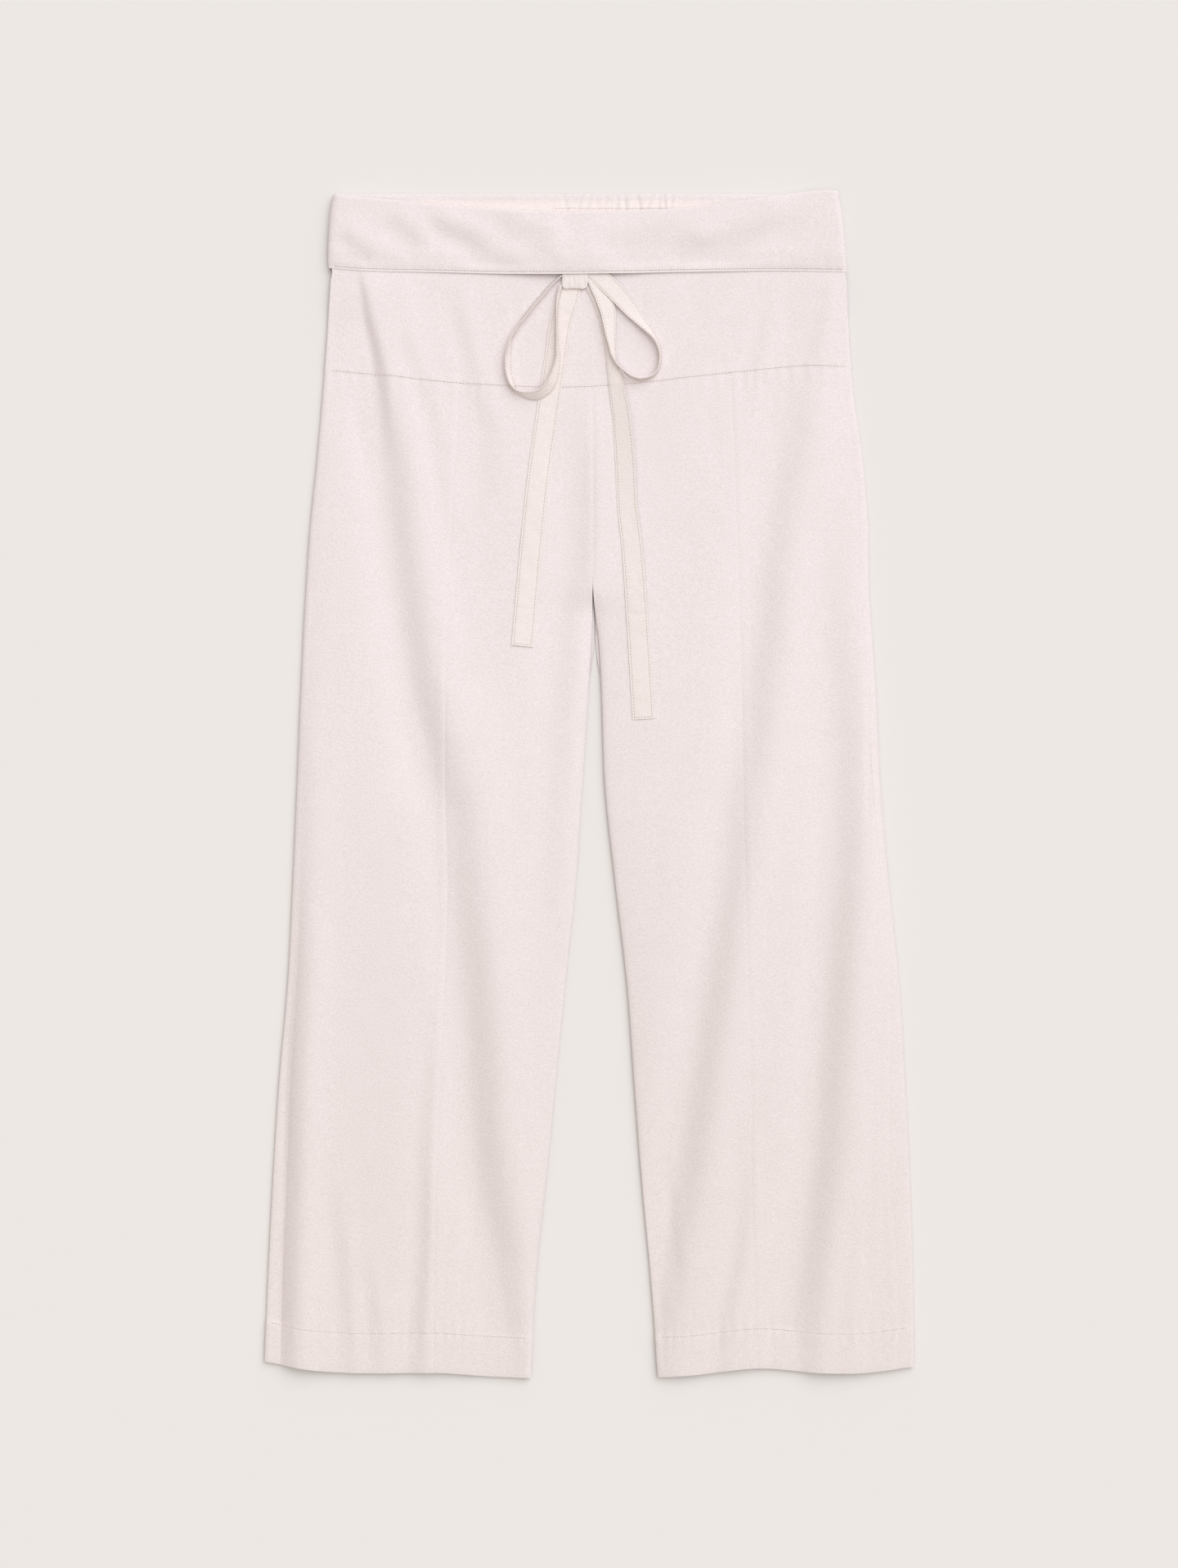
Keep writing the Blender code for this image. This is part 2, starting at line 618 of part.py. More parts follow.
def tie_knot():
    """The bow's knot: a rounded wrap of cloth on the band, half under the flap."""
    steps = 12
    stations = np.linspace(-1, 1, 9)
    base = float(cloth_top(np.array([KNOT_X]), np.array([KNOT_Y]))[0]) + LAYER_STEP + SEAM_GAP
    points = []
    for station in stations:
        size = (1 - abs(station) ** 5) ** 0.5 * 0.35 + 0.65
        for angle in np.linspace(0, 2 * np.pi, steps, endpoint=False):
            across = abs(np.cos(angle)) ** 0.8 * np.sign(np.cos(angle))
            up = abs(np.sin(angle)) ** 0.7 * np.sign(np.sin(angle))
            x = KNOT_X + station * KNOT_LENGTH / 2
            y = KNOT_Y + across * size * KNOT_DEPTH / 2
            z = base + KNOT_THICKNESS / 2 + up * size * KNOT_THICKNESS / 2
            points.append((x * MM, y * MM, z * MM))
    faces = []
    for i in range(len(stations) - 1):
        for j in range(steps):
            after = (j + 1) % steps
            faces.append((i * steps + j, i * steps + after, (i + 1) * steps + after, (i + 1) * steps + j))
    faces.append(tuple(range(steps))[::-1])
    faces.append(tuple(range(len(points) - steps, len(points))))
    mesh = bpy.data.meshes.new("tie_knot")
    mesh.from_pydata(points, [], faces)
    return make_object("tie_knot", mesh, TIE_COLOUR)


def tie_strip(name, rows, stations, width_steps=2):
    """A free stretch of the tie, laid or stood on the cloth by its table."""
    places = [(row.x, row.y) for row in rows]
    lengths = [0.0]
    for before, after in zip(places, places[1:]):
        lengths.append(lengths[-1] + float(np.hypot(after[0] - before[0], after[1] - before[1])))
    run = np.linspace(0, lengths[-1], stations)
    x, y, across, lift, rise = (
        smooth(list(zip(lengths, [row[k] for row in rows])), run) for k in range(5)
    )
    ahead_x = np.gradient(x)
    ahead_y = np.gradient(y)
    ahead = np.hypot(ahead_x, ahead_y)
    side_x = -ahead_y / ahead
    side_y = ahead_x / ahead
    low_x = x + side_x * across
    low_y = y + side_y * across
    rows_found = []
    for share in np.linspace(0, 1, width_steps + 1):
        at_x = low_x + (x - low_x) * share
        at_y = low_y + (y - low_y) * share
        under = cloth_top(at_x, at_y) + SEAM_GAP + WALL / 2
        base = cloth_top(low_x, low_y) + SEAM_GAP + WALL / 2
        flatness = ease(1 - rise / FLAT_RISE)
        z = lift + flatness * under + (1 - flatness) * base + rise * share
        rows_found.append(np.stack([at_x, at_y, z], axis=-1))
    return sheet_of_cloth(name, np.array(rows_found), TIE_COLOUR)


def centre_on_base():
    """Moves every mesh so that the garment's box stands centred on the origin, on the table."""
    bpy.context.view_layer.update()
    graph = bpy.context.evaluated_depsgraph_get()
    corners = []
    for made in bpy.context.scene.objects:
        evaluated = made.evaluated_get(graph)
        corners.extend(np.array(vertex.co) for vertex in evaluated.to_mesh().vertices)
        evaluated.to_mesh_clear()
    low = np.min(corners, axis=0)
    high = np.max(corners, axis=0)
    middle = (low + high) / 2
    move = Matrix.Translation(Vector((-middle[0], -middle[1], -low[2])))
    for made in bpy.context.scene.objects:
        made.data.transform(move)


def main():
    clear_scene()
    waist_panel("waist_back", False, 9, 5, 3)
    waist_panel("waist_front", True, 17, 8, 5)
    for side in ("right", "left"):
        back_panel(side)
        front_outer_panel(side)
        front_inner_panel(side)
    tie_band("tie_band_back", False)
    tie_band("tie_band_front", True)
    tie_knot()
    tie_strip("tie_tail_right", TAIL_RIGHT, 22)
    tie_strip("tie_tail_left", TAIL_LEFT, 26)
    tie_strip("tie_loop_right", LOOP_RIGHT, 32)
    tie_strip("tie_loop_left", LOOP_LEFT, 32)
    centre_on_base()


main()
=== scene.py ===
# %% [markdown]
# # Fisherman trousers, laid flat
#
# These are wide trousers of pale brushed cotton, smoothed out on a floor and seen from straight above.
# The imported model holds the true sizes. Every piece made here is a thinner and finer sheet on the form of
# one of its solids, so the first step is to open that model and to note where its zero lies.

# %% Open the shared frame
from collections import namedtuple

import bpy
import numpy as np
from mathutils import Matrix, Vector


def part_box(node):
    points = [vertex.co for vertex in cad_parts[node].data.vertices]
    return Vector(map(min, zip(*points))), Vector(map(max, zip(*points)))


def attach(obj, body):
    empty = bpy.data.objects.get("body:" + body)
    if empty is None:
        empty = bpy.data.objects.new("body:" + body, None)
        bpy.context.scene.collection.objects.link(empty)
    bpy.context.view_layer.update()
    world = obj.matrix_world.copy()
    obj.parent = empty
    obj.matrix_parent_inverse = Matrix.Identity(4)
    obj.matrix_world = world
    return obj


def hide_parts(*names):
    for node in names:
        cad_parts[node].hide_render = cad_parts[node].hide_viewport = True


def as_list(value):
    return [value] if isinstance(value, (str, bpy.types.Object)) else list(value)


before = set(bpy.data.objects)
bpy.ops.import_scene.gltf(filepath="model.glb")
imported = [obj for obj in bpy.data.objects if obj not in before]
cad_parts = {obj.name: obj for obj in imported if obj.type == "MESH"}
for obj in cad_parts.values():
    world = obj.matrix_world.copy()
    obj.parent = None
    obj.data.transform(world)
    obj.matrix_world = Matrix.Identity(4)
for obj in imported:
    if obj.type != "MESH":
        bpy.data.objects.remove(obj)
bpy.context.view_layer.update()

MM = 0.001
band_low, band_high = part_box("tie_band_back")
ORIGIN_X = (band_low.x + band_high.x) / 2 / MM
ORIGIN_Y = band_low.y / MM - 918.0
print("zero of the drawing in mm:", round(ORIGIN_X, 2), round(ORIGIN_Y, 2))

# %% [markdown]
# ## The camera
#
# The photograph is taken from straight above, with an ordinary portrait lens. An 85 mm lens 3.06 m above
# the cloth frames 1.298 m from top to bottom, which is the photograph's scale of 0.677 mm to a pixel.

# %% Camera
LENS = 85.0
SENSOR = 36.0
FRAME_HEIGHT = 1917 * 0.677 * MM
FRAME_MIDDLE = (-0.34, 491.8)
CLOTH_LEVEL = 5 * MM


def add_camera():
    data = bpy.data.cameras.new("overhead camera")
    data.lens = LENS
    data.sensor_width = SENSOR
    data.clip_end = 20
    camera = bpy.data.objects.new("overhead camera", data)
    bpy.context.scene.collection.objects.link(camera)
    distance = FRAME_HEIGHT * LENS / SENSOR
    camera.location = (
        (FRAME_MIDDLE[0] + ORIGIN_X) * MM,
        (FRAME_MIDDLE[1] + ORIGIN_Y) * MM,
        distance + CLOTH_LEVEL,
    )
    bpy.context.scene.camera = camera
    print("camera height in m:", round(camera.location.z, 3))


add_camera()

# %% [markdown]
# ## Light
#
# The cloth's relief is only a few millimetres high, so it shows by the light alone. One broad light comes
# from the upper right of the picture, and shades the side of each fold that faces away from it. A second one,
# straight above, keeps the edges that face the first from turning white. Both are sun lamps with a wide
# angle, which light evenly from waist to hem. A pale warm world fills the shadows.

# %% Light
SUN_HEIGHT = 46.0
SUN_TURN = 38.0
SUN_STRENGTH = 1.65
SUN_WIDTH = 60.0
CEILING_STRENGTH = 0.75
CEILING_WIDTH = 80.0
SKY_STRENGTH = 0.45
LIGHT_FROM = (float(np.sin(np.radians(SUN_TURN))), float(np.cos(np.radians(SUN_TURN))))


def add_lamp(name, towards, strength, width, colour):
    data = bpy.data.lights.new(name, "SUN")
    data.energy = strength
    data.angle = np.radians(width)
    data.color = colour
    lamp = bpy.data.objects.new(name, data)
    lamp.rotation_mode = "QUATERNION"
    lamp.rotation_quaternion = (-towards).to_track_quat("-Z", "Y")
    lamp.location = towards * 3
    bpy.context.scene.collection.objects.link(lamp)


def add_light():
    lift = np.radians(SUN_HEIGHT)
    level = np.cos(lift)
    towards = Vector((LIGHT_FROM[0] * level, LIGHT_FROM[1] * level, np.sin(lift)))
    add_lamp("window", towards, SUN_STRENGTH, SUN_WIDTH, (0.958, 1.0, 1.05))
    add_lamp("ceiling", Vector((0, 0, 1)), CEILING_STRENGTH, CEILING_WIDTH, (0.962, 1.0, 1.04))
    world = bpy.data.worlds.new("pale room")
    world.use_nodes = True
    sky = world.node_tree.nodes["Background"]
    sky.inputs["Color"].default_value = (1.07, 0.96, 0.845, 1.0)
    sky.inputs["Strength"].default_value = SKY_STRENGTH
    bpy.context.scene.world = world
    bpy.context.scene.view_settings.view_transform = "Standard"


add_light()

# %% [markdown]
# ## Brushed cotton
#
# Brushed cotton has a short nap. It hides the weave, leaves a fine uneven grain, and takes the shine off.
# The grain could be a texture image, but noise costs nothing and has no seams. Both the garment and its
# tie need it, so it is a node group with named inputs, placed in each material with that material's values.

# %% The nap, as a node group
def add_socket(tree, name, direction, kind, value=None):
    socket = tree.interface.new_socket(name=name, in_out=direction, socket_type=kind)
    if value is not None:
        socket.default_value = value


def noise_node(tree, place, detail):
    node = tree.nodes.new("ShaderNodeTexNoise")
    node.inputs["Detail"].default_value = detail
    tree.links.new(place, node.inputs["Vector"])
    return node


def make_nap_group():
    tree = bpy.data.node_groups.new("cotton nap", "ShaderNodeTree")
    add_socket(tree, "Cloth Colour", "INPUT", "NodeSocketColor", (0.85, 0.77, 0.76, 1))
    add_socket(tree, "Shade Colour", "INPUT", "NodeSocketColor", (0.78, 0.69, 0.67, 1))
    add_socket(tree, "Grain Scale", "INPUT", "NodeSocketFloat", 700.0)
    add_socket(tree, "Patch Scale", "INPUT", "NodeSocketFloat", 60.0)
    add_socket(tree, "Lower Painted Shade", "INPUT", "NodeSocketColor", (1, 1, 1, 1))
    add_socket(tree, "Painted Shade Top", "INPUT", "NodeSocketFloat", 0.2)
    add_socket(tree, "Painted Shade Bottom", "INPUT", "NodeSocketFloat", -0.4)
    add_socket(tree, "Colour", "OUTPUT", "NodeSocketColor")
    add_socket(tree, "Height", "OUTPUT", "NodeSocketFloat")
    add_socket(tree, "Roughness", "OUTPUT", "NodeSocketFloat")
    start = tree.nodes.new("NodeGroupInput")
    end = tree.nodes.new("NodeGroupOutput")
    place = tree.nodes.new("ShaderNodeTexCoord").outputs["Object"]
    grain = noise_node(tree, place, 3.0)
    patch = noise_node(tree, place, 2.0)
    tree.links.new(start.outputs["Grain Scale"], grain.inputs["Scale"])
    tree.links.new(start.outputs["Patch Scale"], patch.inputs["Scale"])
    both = tree.nodes.new("ShaderNodeMath")
    both.operation = "MULTIPLY_ADD"
    both.inputs[1].default_value = 0.9
    tree.links.new(grain.outputs["Fac"], both.inputs[0])
    share = tree.nodes.new("ShaderNodeMath")
    share.operation = "MULTIPLY"
    share.inputs[1].default_value = 0.1
    tree.links.new(patch.outputs["Fac"], share.inputs[0])
    tree.links.new(share.outputs[0], both.inputs[2])
    spread = tree.nodes.new("ShaderNodeMapRange")
    spread.inputs["From Min"].default_value = 0.35
    spread.inputs["From Max"].default_value = 0.65
    tree.links.new(both.outputs[0], spread.inputs["Value"])
    blend = tree.nodes.new("ShaderNodeMix")
    blend.data_type = "RGBA"
    tree.links.new(spread.outputs["Result"], blend.inputs["Factor"])
    tree.links.new(start.outputs["Shade Colour"], blend.inputs["A"])
    tree.links.new(start.outputs["Cloth Colour"], blend.inputs["B"])
    rough = tree.nodes.new("ShaderNodeMapRange")
    rough.inputs["To Min"].default_value = 0.86
    rough.inputs["To Max"].default_value = 0.96
    tree.links.new(patch.outputs["Fac"], rough.inputs["Value"])
    # Painted shade: below the top height the colour is multiplied more and more by the lower tone, down to the
    # bottom height, so the cloth darkens and warms towards the hems.
    apart = tree.nodes.new("ShaderNodeSeparateXYZ")
    tree.links.new(place, apart.inputs["Vector"])
    down = tree.nodes.new("ShaderNodeMapRange")
    down.interpolation_type = "SMOOTHSTEP"
    tree.links.new(apart.outputs["Y"], down.inputs["Value"])
    tree.links.new(start.outputs["Painted Shade Top"], down.inputs["From Min"])
    tree.links.new(start.outputs["Painted Shade Bottom"], down.inputs["From Max"])
    painted_low_shade = tree.nodes.new("ShaderNodeMix")
    painted_low_shade.data_type = "RGBA"
    painted_low_shade.blend_type = "MULTIPLY"
    tree.links.new(down.outputs["Result"], painted_low_shade.inputs["Factor"])
    tree.links.new(blend.outputs["Result"], painted_low_shade.inputs["A"])
    tree.links.new(start.outputs["Lower Painted Shade"], painted_low_shade.inputs["B"])
    tree.links.new(painted_low_shade.outputs["Result"], end.inputs["Colour"])
    tree.links.new(grain.outputs["Fac"], end.inputs["Height"])
    tree.links.new(rough.outputs["Result"], end.inputs["Roughness"])
    return tree


nap = make_nap_group()
print("node group made:", nap.name)

# %% [markdown]
# The finishes differ a little: the garment is faintly pink, the tie and the waist's facing creamier. Sheen gives
# the pale bloom of a nap seen at a low angle. The thread is smoother, and darker than the cloth: painted shade
# for the holes and small shadows round each stitch.

# %% Cloth, tie and thread
# Painted shade: the colour that darkens and warms every cotton towards the hems.
LOWER_PAINTED_SHADE = (0.95, 0.945, 0.925)
Finish = namedtuple("Finish", "name colour shade grain patch grain_depth sheen")
FINISHES = {
    "cloth": Finish("brushed cotton", (0.862, 0.790, 0.804), (0.780, 0.708, 0.716), 720, 55, 0.28, 0.12),
    "facing": Finish("facing cotton", (0.900, 0.828, 0.812), (0.840, 0.765, 0.745), 720, 55, 0.24, 0.12),
    "tie": Finish("tie cotton", (0.868, 0.798, 0.783), (0.808, 0.735, 0.718), 720, 70, 0.24, 0.08),
    # Painted shade: the thread is darker than the cloth to stand for the holes and small shadows round each
    # stitch.
    "thread": Finish("thread with painted stitch shade", (0.70, 0.60, 0.56), (0.62, 0.52, 0.48), 1500, 300, 0.03, 0.0),
}


def cotton_material(finish):
    material = bpy.data.materials.new(finish.name)
    material.use_nodes = True
    tree = material.node_tree
    shader = tree.nodes["Principled BSDF"]
    group = tree.nodes.new("ShaderNodeGroup")
    group.node_tree = nap
    group.inputs["Cloth Colour"].default_value = (*finish.colour, 1)
    group.inputs["Shade Colour"].default_value = (*finish.shade, 1)
    group.inputs["Grain Scale"].default_value = finish.grain
    group.inputs["Patch Scale"].default_value = finish.patch
    # Painted shade: darker and warmer towards the hems.
    group.inputs["Lower Painted Shade"].default_value = (*LOWER_PAINTED_SHADE, 1)
    bump = tree.nodes.new("ShaderNodeBump")
    bump.inputs["Strength"].default_value = 1.0
    bump.inputs["Distance"].default_value = finish.grain_depth * MM
    tree.links.new(group.outputs["Colour"], shader.inputs["Base Color"])
    tree.links.new(group.outputs["Roughness"], shader.inputs["Roughness"])
    tree.links.new(group.outputs["Height"], bump.inputs["Height"])
    tree.links.new(bump.outputs["Normal"], shader.inputs["Normal"])
    shader.inputs["Metallic"].default_value = 0.0
    shader.inputs["Specular IOR Level"].default_value = 0.25
    shader.inputs["Sheen Weight"].default_value = finish.sheen
    shader.inputs["Sheen Roughness"].default_value = 0.45
    shader.inputs["Sheen Tint"].default_value = (1.0, 0.96, 0.95, 1.0)
    return material


materials = {key: cotton_material(finish) for key, finish in FINISHES.items()}

# %% [markdown]
# ## The floor
#
# A plain pale floor, large enough to fill every view. It lies just under the cloth, and is not attached
# to the garment.

# %% Floor
FLOOR_COLOUR = (0.785, 0.766, 0.752, 1.0)
FLOOR_SIDE = 60.0


def add_floor():
    half = FLOOR_SIDE / 2
    level = -0.2 * MM
    corners = [(-half, -half, level), (half, -half, level), (half, half, level), (-half, half, level)]
    mesh = bpy.data.meshes.new("floor")
    mesh.from_pydata(corners, [], [(0, 1, 2, 3)])
    material = bpy.data.materials.new("matt floor")
    material.use_nodes = True
    shader = material.node_tree.nodes["Principled BSDF"]
    shader.inputs["Base Color"].default_value = FLOOR_COLOUR
    shader.inputs["Roughness"].default_value = 0.85
    shader.inputs["Specular IOR Level"].default_value = 0.2
    mesh.materials.append(material)
    floor = bpy.data.objects.new("floor", mesh)
    bpy.context.scene.collection.objects.link(floor)
    return floor


floor = add_floor()

# %% [markdown]
# ## The drawing
#
# The outline and the seams are kept as short tables, one row for each height, in millimetres from the
# lowest point of the hems. Right and left are the wearer's, so the right leg is on the left of the picture.

# %% Outline and seams
Section = namedtuple(
    "Section",
    "height right_outer right_side_inset right_seam right_inner"
    " left_inner left_seam left_side_inset left_outer",
)
SECTIONS = [
    Section(0, -269.8, 14.0, -129.0, -48.6, 56.7, 139.5, 14.5, 269.1),
    Section(85, -266.4, 12.5, -128.3, -43.7, 50.4, 136.8, 13.7, 268.1),
    Section(165, -262.3, 12.0, -126.9, -35.5, 43.0, 134.4, 17.2, 265.7),
    Section(245, -257.3, 10.0, -123.9, -27.8, 36.9, 133.7, 13.5, 261.7),
    Section(325, -250.2, 8.0, -120.2, -20.0, 31.1, 131.7, 8.5, 256.9),
    Section(410, -245.8, 7.0, -117.5, -11.2, 21.3, 129.3, 7.0, 248.1),
    Section(490, -242.4, 7.0, -119.2, -5.8, 12.8, 127.6, 7.0, 241.3),
    Section(572, -239.0, 7.0, -119.0, -0.3, 9.8, 126.3, 7.0, 237.3),
    Section(615, -237.0, 7.0, -118.3, 2.0, 7.1, 125.2, 7.0, 234.4),
    Section(646, -235.3, 7.0, -117.5, 2.9, 3.2, 124.2, 7.0, 232.2),
    Section(707, -231.2, 7.0, -114.4, 3.5, 3.8, 122.2, 7.0, 231.0),
    Section(760, -225.8, 7.0, -111.0, 3.3, 3.6, 120.2, 7.0, 226.5),
    Section(815, -221.0, 7.0, -108.0, 2.4, 2.7, 117.7, 7.0, 219.0),
    Section(860, -217.6, 7.0, -106.0, 2.0, 2.3, 116.0, 7.0, 215.6),
    Section(910, -214.4, 7.0, -104.0, 2.0, 2.3, 115.0, 7.0, 212.9),
]
FlapEdge = namedtuple("FlapEdge", "height right left")
FLAP_EDGES = [
    FlapEdge(912, -215.2, 213.6), FlapEdge(925, -216.4, 212.6), FlapEdge(945, -216.0, 211.0),
    FlapEdge(962, -214.8, 209.3), FlapEdge(984, -211.2, 205.6),
]

# %% Lines that run across, as a height at each width
Mark = namedtuple("Mark", "width height")
YOKE_SEAM = [
    Mark(-219, 832.9), Mark(-173, 828.6), Mark(-121, 822.9), Mark(-66, 819.5), Mark(-14, 818.5),
    Mark(27, 820.7), Mark(94, 828.0), Mark(134, 832.2), Mark(183, 836.4), Mark(218, 835.4),
]
FRONT_CREST = [
    Mark(-216, 979.8), Mark(-166, 975.6), Mark(-133, 972.2), Mark(-84, 968.4), Mark(-46, 965.7),
    Mark(12, 966.1), Mark(72, 968.1), Mark(127, 974.9), Mark(157, 978.9), Mark(197, 983.2),
    Mark(213, 982.4),
]
FLAP_HEM = [
    Mark(-215, 918.7), Mark(-192, 916.7), Mark(-137, 915.3), Mark(-24, 913.3), Mark(84, 915.3),
    Mark(167, 916.3), Mark(214, 915.6),
]
RIGHT_HEM = [
    Mark(-270, 13.9), Mark(-224, 6.3), Mark(-152, 4.4), Mark(-129, 4.7), Mark(-85, 1.6), Mark(-48, 0.1),
]
LEFT_HEM = [
    Mark(56, 0.7), Mark(86, 2.7), Mark(139, 8.1), Mark(184, 5.0), Mark(224, 4.4), Mark(269, 9.5),
]
BACK_TOP = 980.7
BACK_FLAP_HEM = 916.5

# %% [markdown]
# A table gives a few places along a line. The cloth needs every place between them, so a smooth curve is
# drawn through each table. The same ease is used wherever one height has to run softly into another.

# %% Reading the tables
def ease(value):
    value = np.clip(value, 0.0, 1.0)
    return value * value * (3 - 2 * value)


def smooth(table, places):
    """A value for each place, on a smooth curve through a table's first and second columns."""
    knots = np.array([row[0] for row in table], float)
    values = np.array([row[1] for row in table], float)
    places = np.clip(np.asarray(places, float), knots[0], knots[-1])
    slopes = np.gradient(values, knots)
    first = np.clip(np.searchsorted(knots, places) - 1, 0, len(knots) - 2)
    span = knots[first + 1] - knots[first]
    t = (places - knots[first]) / span
    start = (1 + 2 * t) * (1 - t) ** 2 * values[first] + t * (1 - t) ** 2 * span * slopes[first]
    end = t * t * (3 - 2 * t) * values[first + 1] + t * t * (t - 1) * span * slopes[first + 1]
    return start + end


def section(column, heights):
    return smooth([(row.height, getattr(row, column)) for row in SECTIONS], heights)


def hem_line(side, x):
    return smooth(LEFT_HEM if side == "left" else RIGHT_HEM, x)


print("waist width in mm:", round(float(section("left_outer", 900) - section("right_outer", 900)), 1))

# %% [markdown]
# ## Folds
#
# Cotton that has been worn and smoothed by hand keeps a few long soft folds. A simulation would give folds
# of its own, in other places. Here each long fold is drawn as a line down the leg, with a strength at
# each height. Its cloth climbs across the line towards the light, so the line itself lies in soft shade.

# %% The long folds, placed one by one
LongFold = namedtuple("LongFold", "half_width climb line")
Turn = namedtuple("Turn", "height width strength")
LONG_FOLDS = [
    LongFold(16, 3.9, [
        Turn(470, -126, 0), Turn(490, -127, 0.5), Turn(531, -131, 1), Turn(586, -139, 1),
        Turn(626, -145, 1), Turn(667, -150, 0.95), Turn(707, -155, 0.9), Turn(748, -160, 0.9),
        Turn(789, -167, 0.9), Turn(830, -173, 0.8), Turn(870, -181, 0.8), Turn(913, -190, 0.5),
    ]),
    LongFold(19, 4.9, [
        Turn(20, -57, 0.5), Turn(58, -62, 0.8), Turn(98, -67, 0.85), Turn(152, -78, 0.95),
        Turn(206, -85, 1), Turn(261, -88, 1), Turn(315, -92, 0.95), Turn(369, -97, 0.9),
        Turn(423, -103, 0.8), Turn(477, -107, 0.7), Turn(531, -112, 0.5), Turn(580, -113, 0),
    ]),
    LongFold(17, 4.4, [
        Turn(10, 57, 0.4), Turn(58, 63, 0.6), Turn(98, 71, 0.75), Turn(152, 81, 0.9),
        Turn(206, 89, 1), Turn(261, 97, 1), Turn(315, 105, 1), Turn(369, 113, 0.9),
        Turn(423, 122, 0.8), Turn(477, 128, 0.75), Turn(531, 138, 0.75), Turn(586, 145, 0.75),
        Turn(626, 150, 0.75), Turn(667, 153, 0.75), Turn(707, 159, 0.7), Turn(748, 166, 0.7),
        Turn(789, 174, 0.6), Turn(830, 177, 0.3), Turn(880, 181, 0.35), Turn(912, 184, 0.2),
    ]),
    LongFold(18, 5.0, [
        Turn(15, 180, 0.6), Turn(58, 182, 0.8), Turn(98, 186, 0.9), Turn(152, 193, 1),
        Turn(206, 199, 1), Turn(261, 202, 1), Turn(315, 206, 1), Turn(369, 210, 0.95),
        Turn(423, 214, 0.9), Turn(477, 216, 0.8), Turn(531, 215, 0.65), Turn(586, 212, 0.5),
        Turn(626, 208, 0.35), Turn(667, 206, 0.25), Turn(707, 205, 0.15), Turn(760, 205, 0),
    ]),
    LongFold(14, 2.2, [
        Turn(330, -28, 0), Turn(423, -28, 0.5), Turn(477, -25, 0.6), Turn(531, -22, 0.8),
        Turn(586, -17, 0.9), Turn(626, -14, 1), Turn(667, -7, 1), Turn(707, -4, 0.9),
        Turn(748, -4, 0.6), Turn(789, -7, 0.4), Turn(815, -9, 0),
    ]),
    LongFold(8, 1.7, [
        Turn(0, -143, 0.6), Turn(58, -140, 1), Turn(98, -137, 0.9), Turn(152, -136, 0.8),
        Turn(206, -135, 0.7), Turn(261, -131, 0.5), Turn(330, -130, 0),
    ]),
    LongFold(8, 1.4, [
        Turn(0, 110, 0.5), Turn(58, 115, 1), Turn(98, 124, 0.8), Turn(152, 130, 0.5), Turn(215, 131, 0),
    ]),
    LongFold(8, 1.1, [Turn(0, -198, 0.5), Turn(58, -201, 1), Turn(98, -204, 0.9), Turn(190, -214, 0)]),
    LongFold(7, 1.0, [Turn(0, -176, 0.4), Turn(58, -179, 1), Turn(120, -186, 0)]),
    LongFold(8, 1.0, [Turn(0, 212, 0.6), Turn(58, 214, 1), Turn(98, 218, 0.8), Turn(160, 222, 0)]),
    LongFold(13, 4.6, [
        Turn(0, -252, 0.8), Turn(58, -251, 1), Turn(98, -250, 1), Turn(152, -248, 1),
        Turn(206, -247, 1), Turn(261, -246, 0.95), Turn(315, -243, 0.9), Turn(369, -241, 0.7),
        Turn(423, -240, 0.45), Turn(477, -239, 0.3), Turn(560, -238, 0.2), Turn(650, -236, 0),
    ]),
    LongFold(5, 1.3, [
        Turn(760, -162, 0), Turn(800, -168, 0.5), Turn(830, -172, 0.9), Turn(850, -176, 1),
        Turn(880, -184, 1), Turn(913, -190.6, 0.9),
    ]),
    LongFold(12, 0.9, [Turn(700, -76, 0), Turn(748, -80, 0.7), Turn(789, -84, 1), Turn(816, -90, 0.4)]),
    LongFold(8, 1.0, [
        Turn(690, -117, 0), Turn(748, -123, 0.8), Turn(800, -131, 0.8), Turn(854, -149, 0.8),
        Turn(908, -160, 0.4),
    ]),
    LongFold(8, 1.0, [Turn(780, -86, 0), Turn(821, -94, 0.7), Turn(870, -105, 1), Turn(905, -112, 0.4)]),
    LongFold(9, 1.3, [Turn(790, 50, 0), Turn(820, 58, 0.5), Turn(850, 76, 1), Turn(880, 102, 0.9), Turn(908, 122, 0.3)]),
    LongFold(7, 0.9, [Turn(800, 130, 0), Turn(840, 138, 0.8), Turn(870, 144, 1), Turn(908, 154, 0.3)]),
    LongFold(7, 0.8, [Turn(820, 179, 0), Turn(850, 186, 0.8), Turn(875, 192, 1), Turn(908, 198, 0.4)]),
    LongFold(8, 0.7, [Turn(790, -205, 0), Turn(830, -203, 0.8), Turn(870, -206, 0.8), Turn(905, -208, 0.3)]),
]


def long_fold_relief(x, y):
    """How far the long folds raise or lower the cloth at each point."""
    relief = np.zeros(np.shape(x))
    for fold in LONG_FOLDS:
        place = smooth([(turn.height, turn.width) for turn in fold.line], y)
        heights = [turn.height for turn in fold.line]
        strength = np.interp(y, heights, [turn.strength for turn in fold.line])
        strength = strength * ease((heights[-1] + 12 - y) / 24) if fold.line[-1].strength else strength
        away = (x - place) / fold.half_width
        relief += fold.climb * strength * away * np.exp(0.5 - away * away / 2)
    return relief


# %% [markdown]
# The folds on the flap fan out from the bow, and run too much sideways for that. Each of them is a bent line
# on its own, and the cloth climbs across it in the same way, or dips along it as a crease.

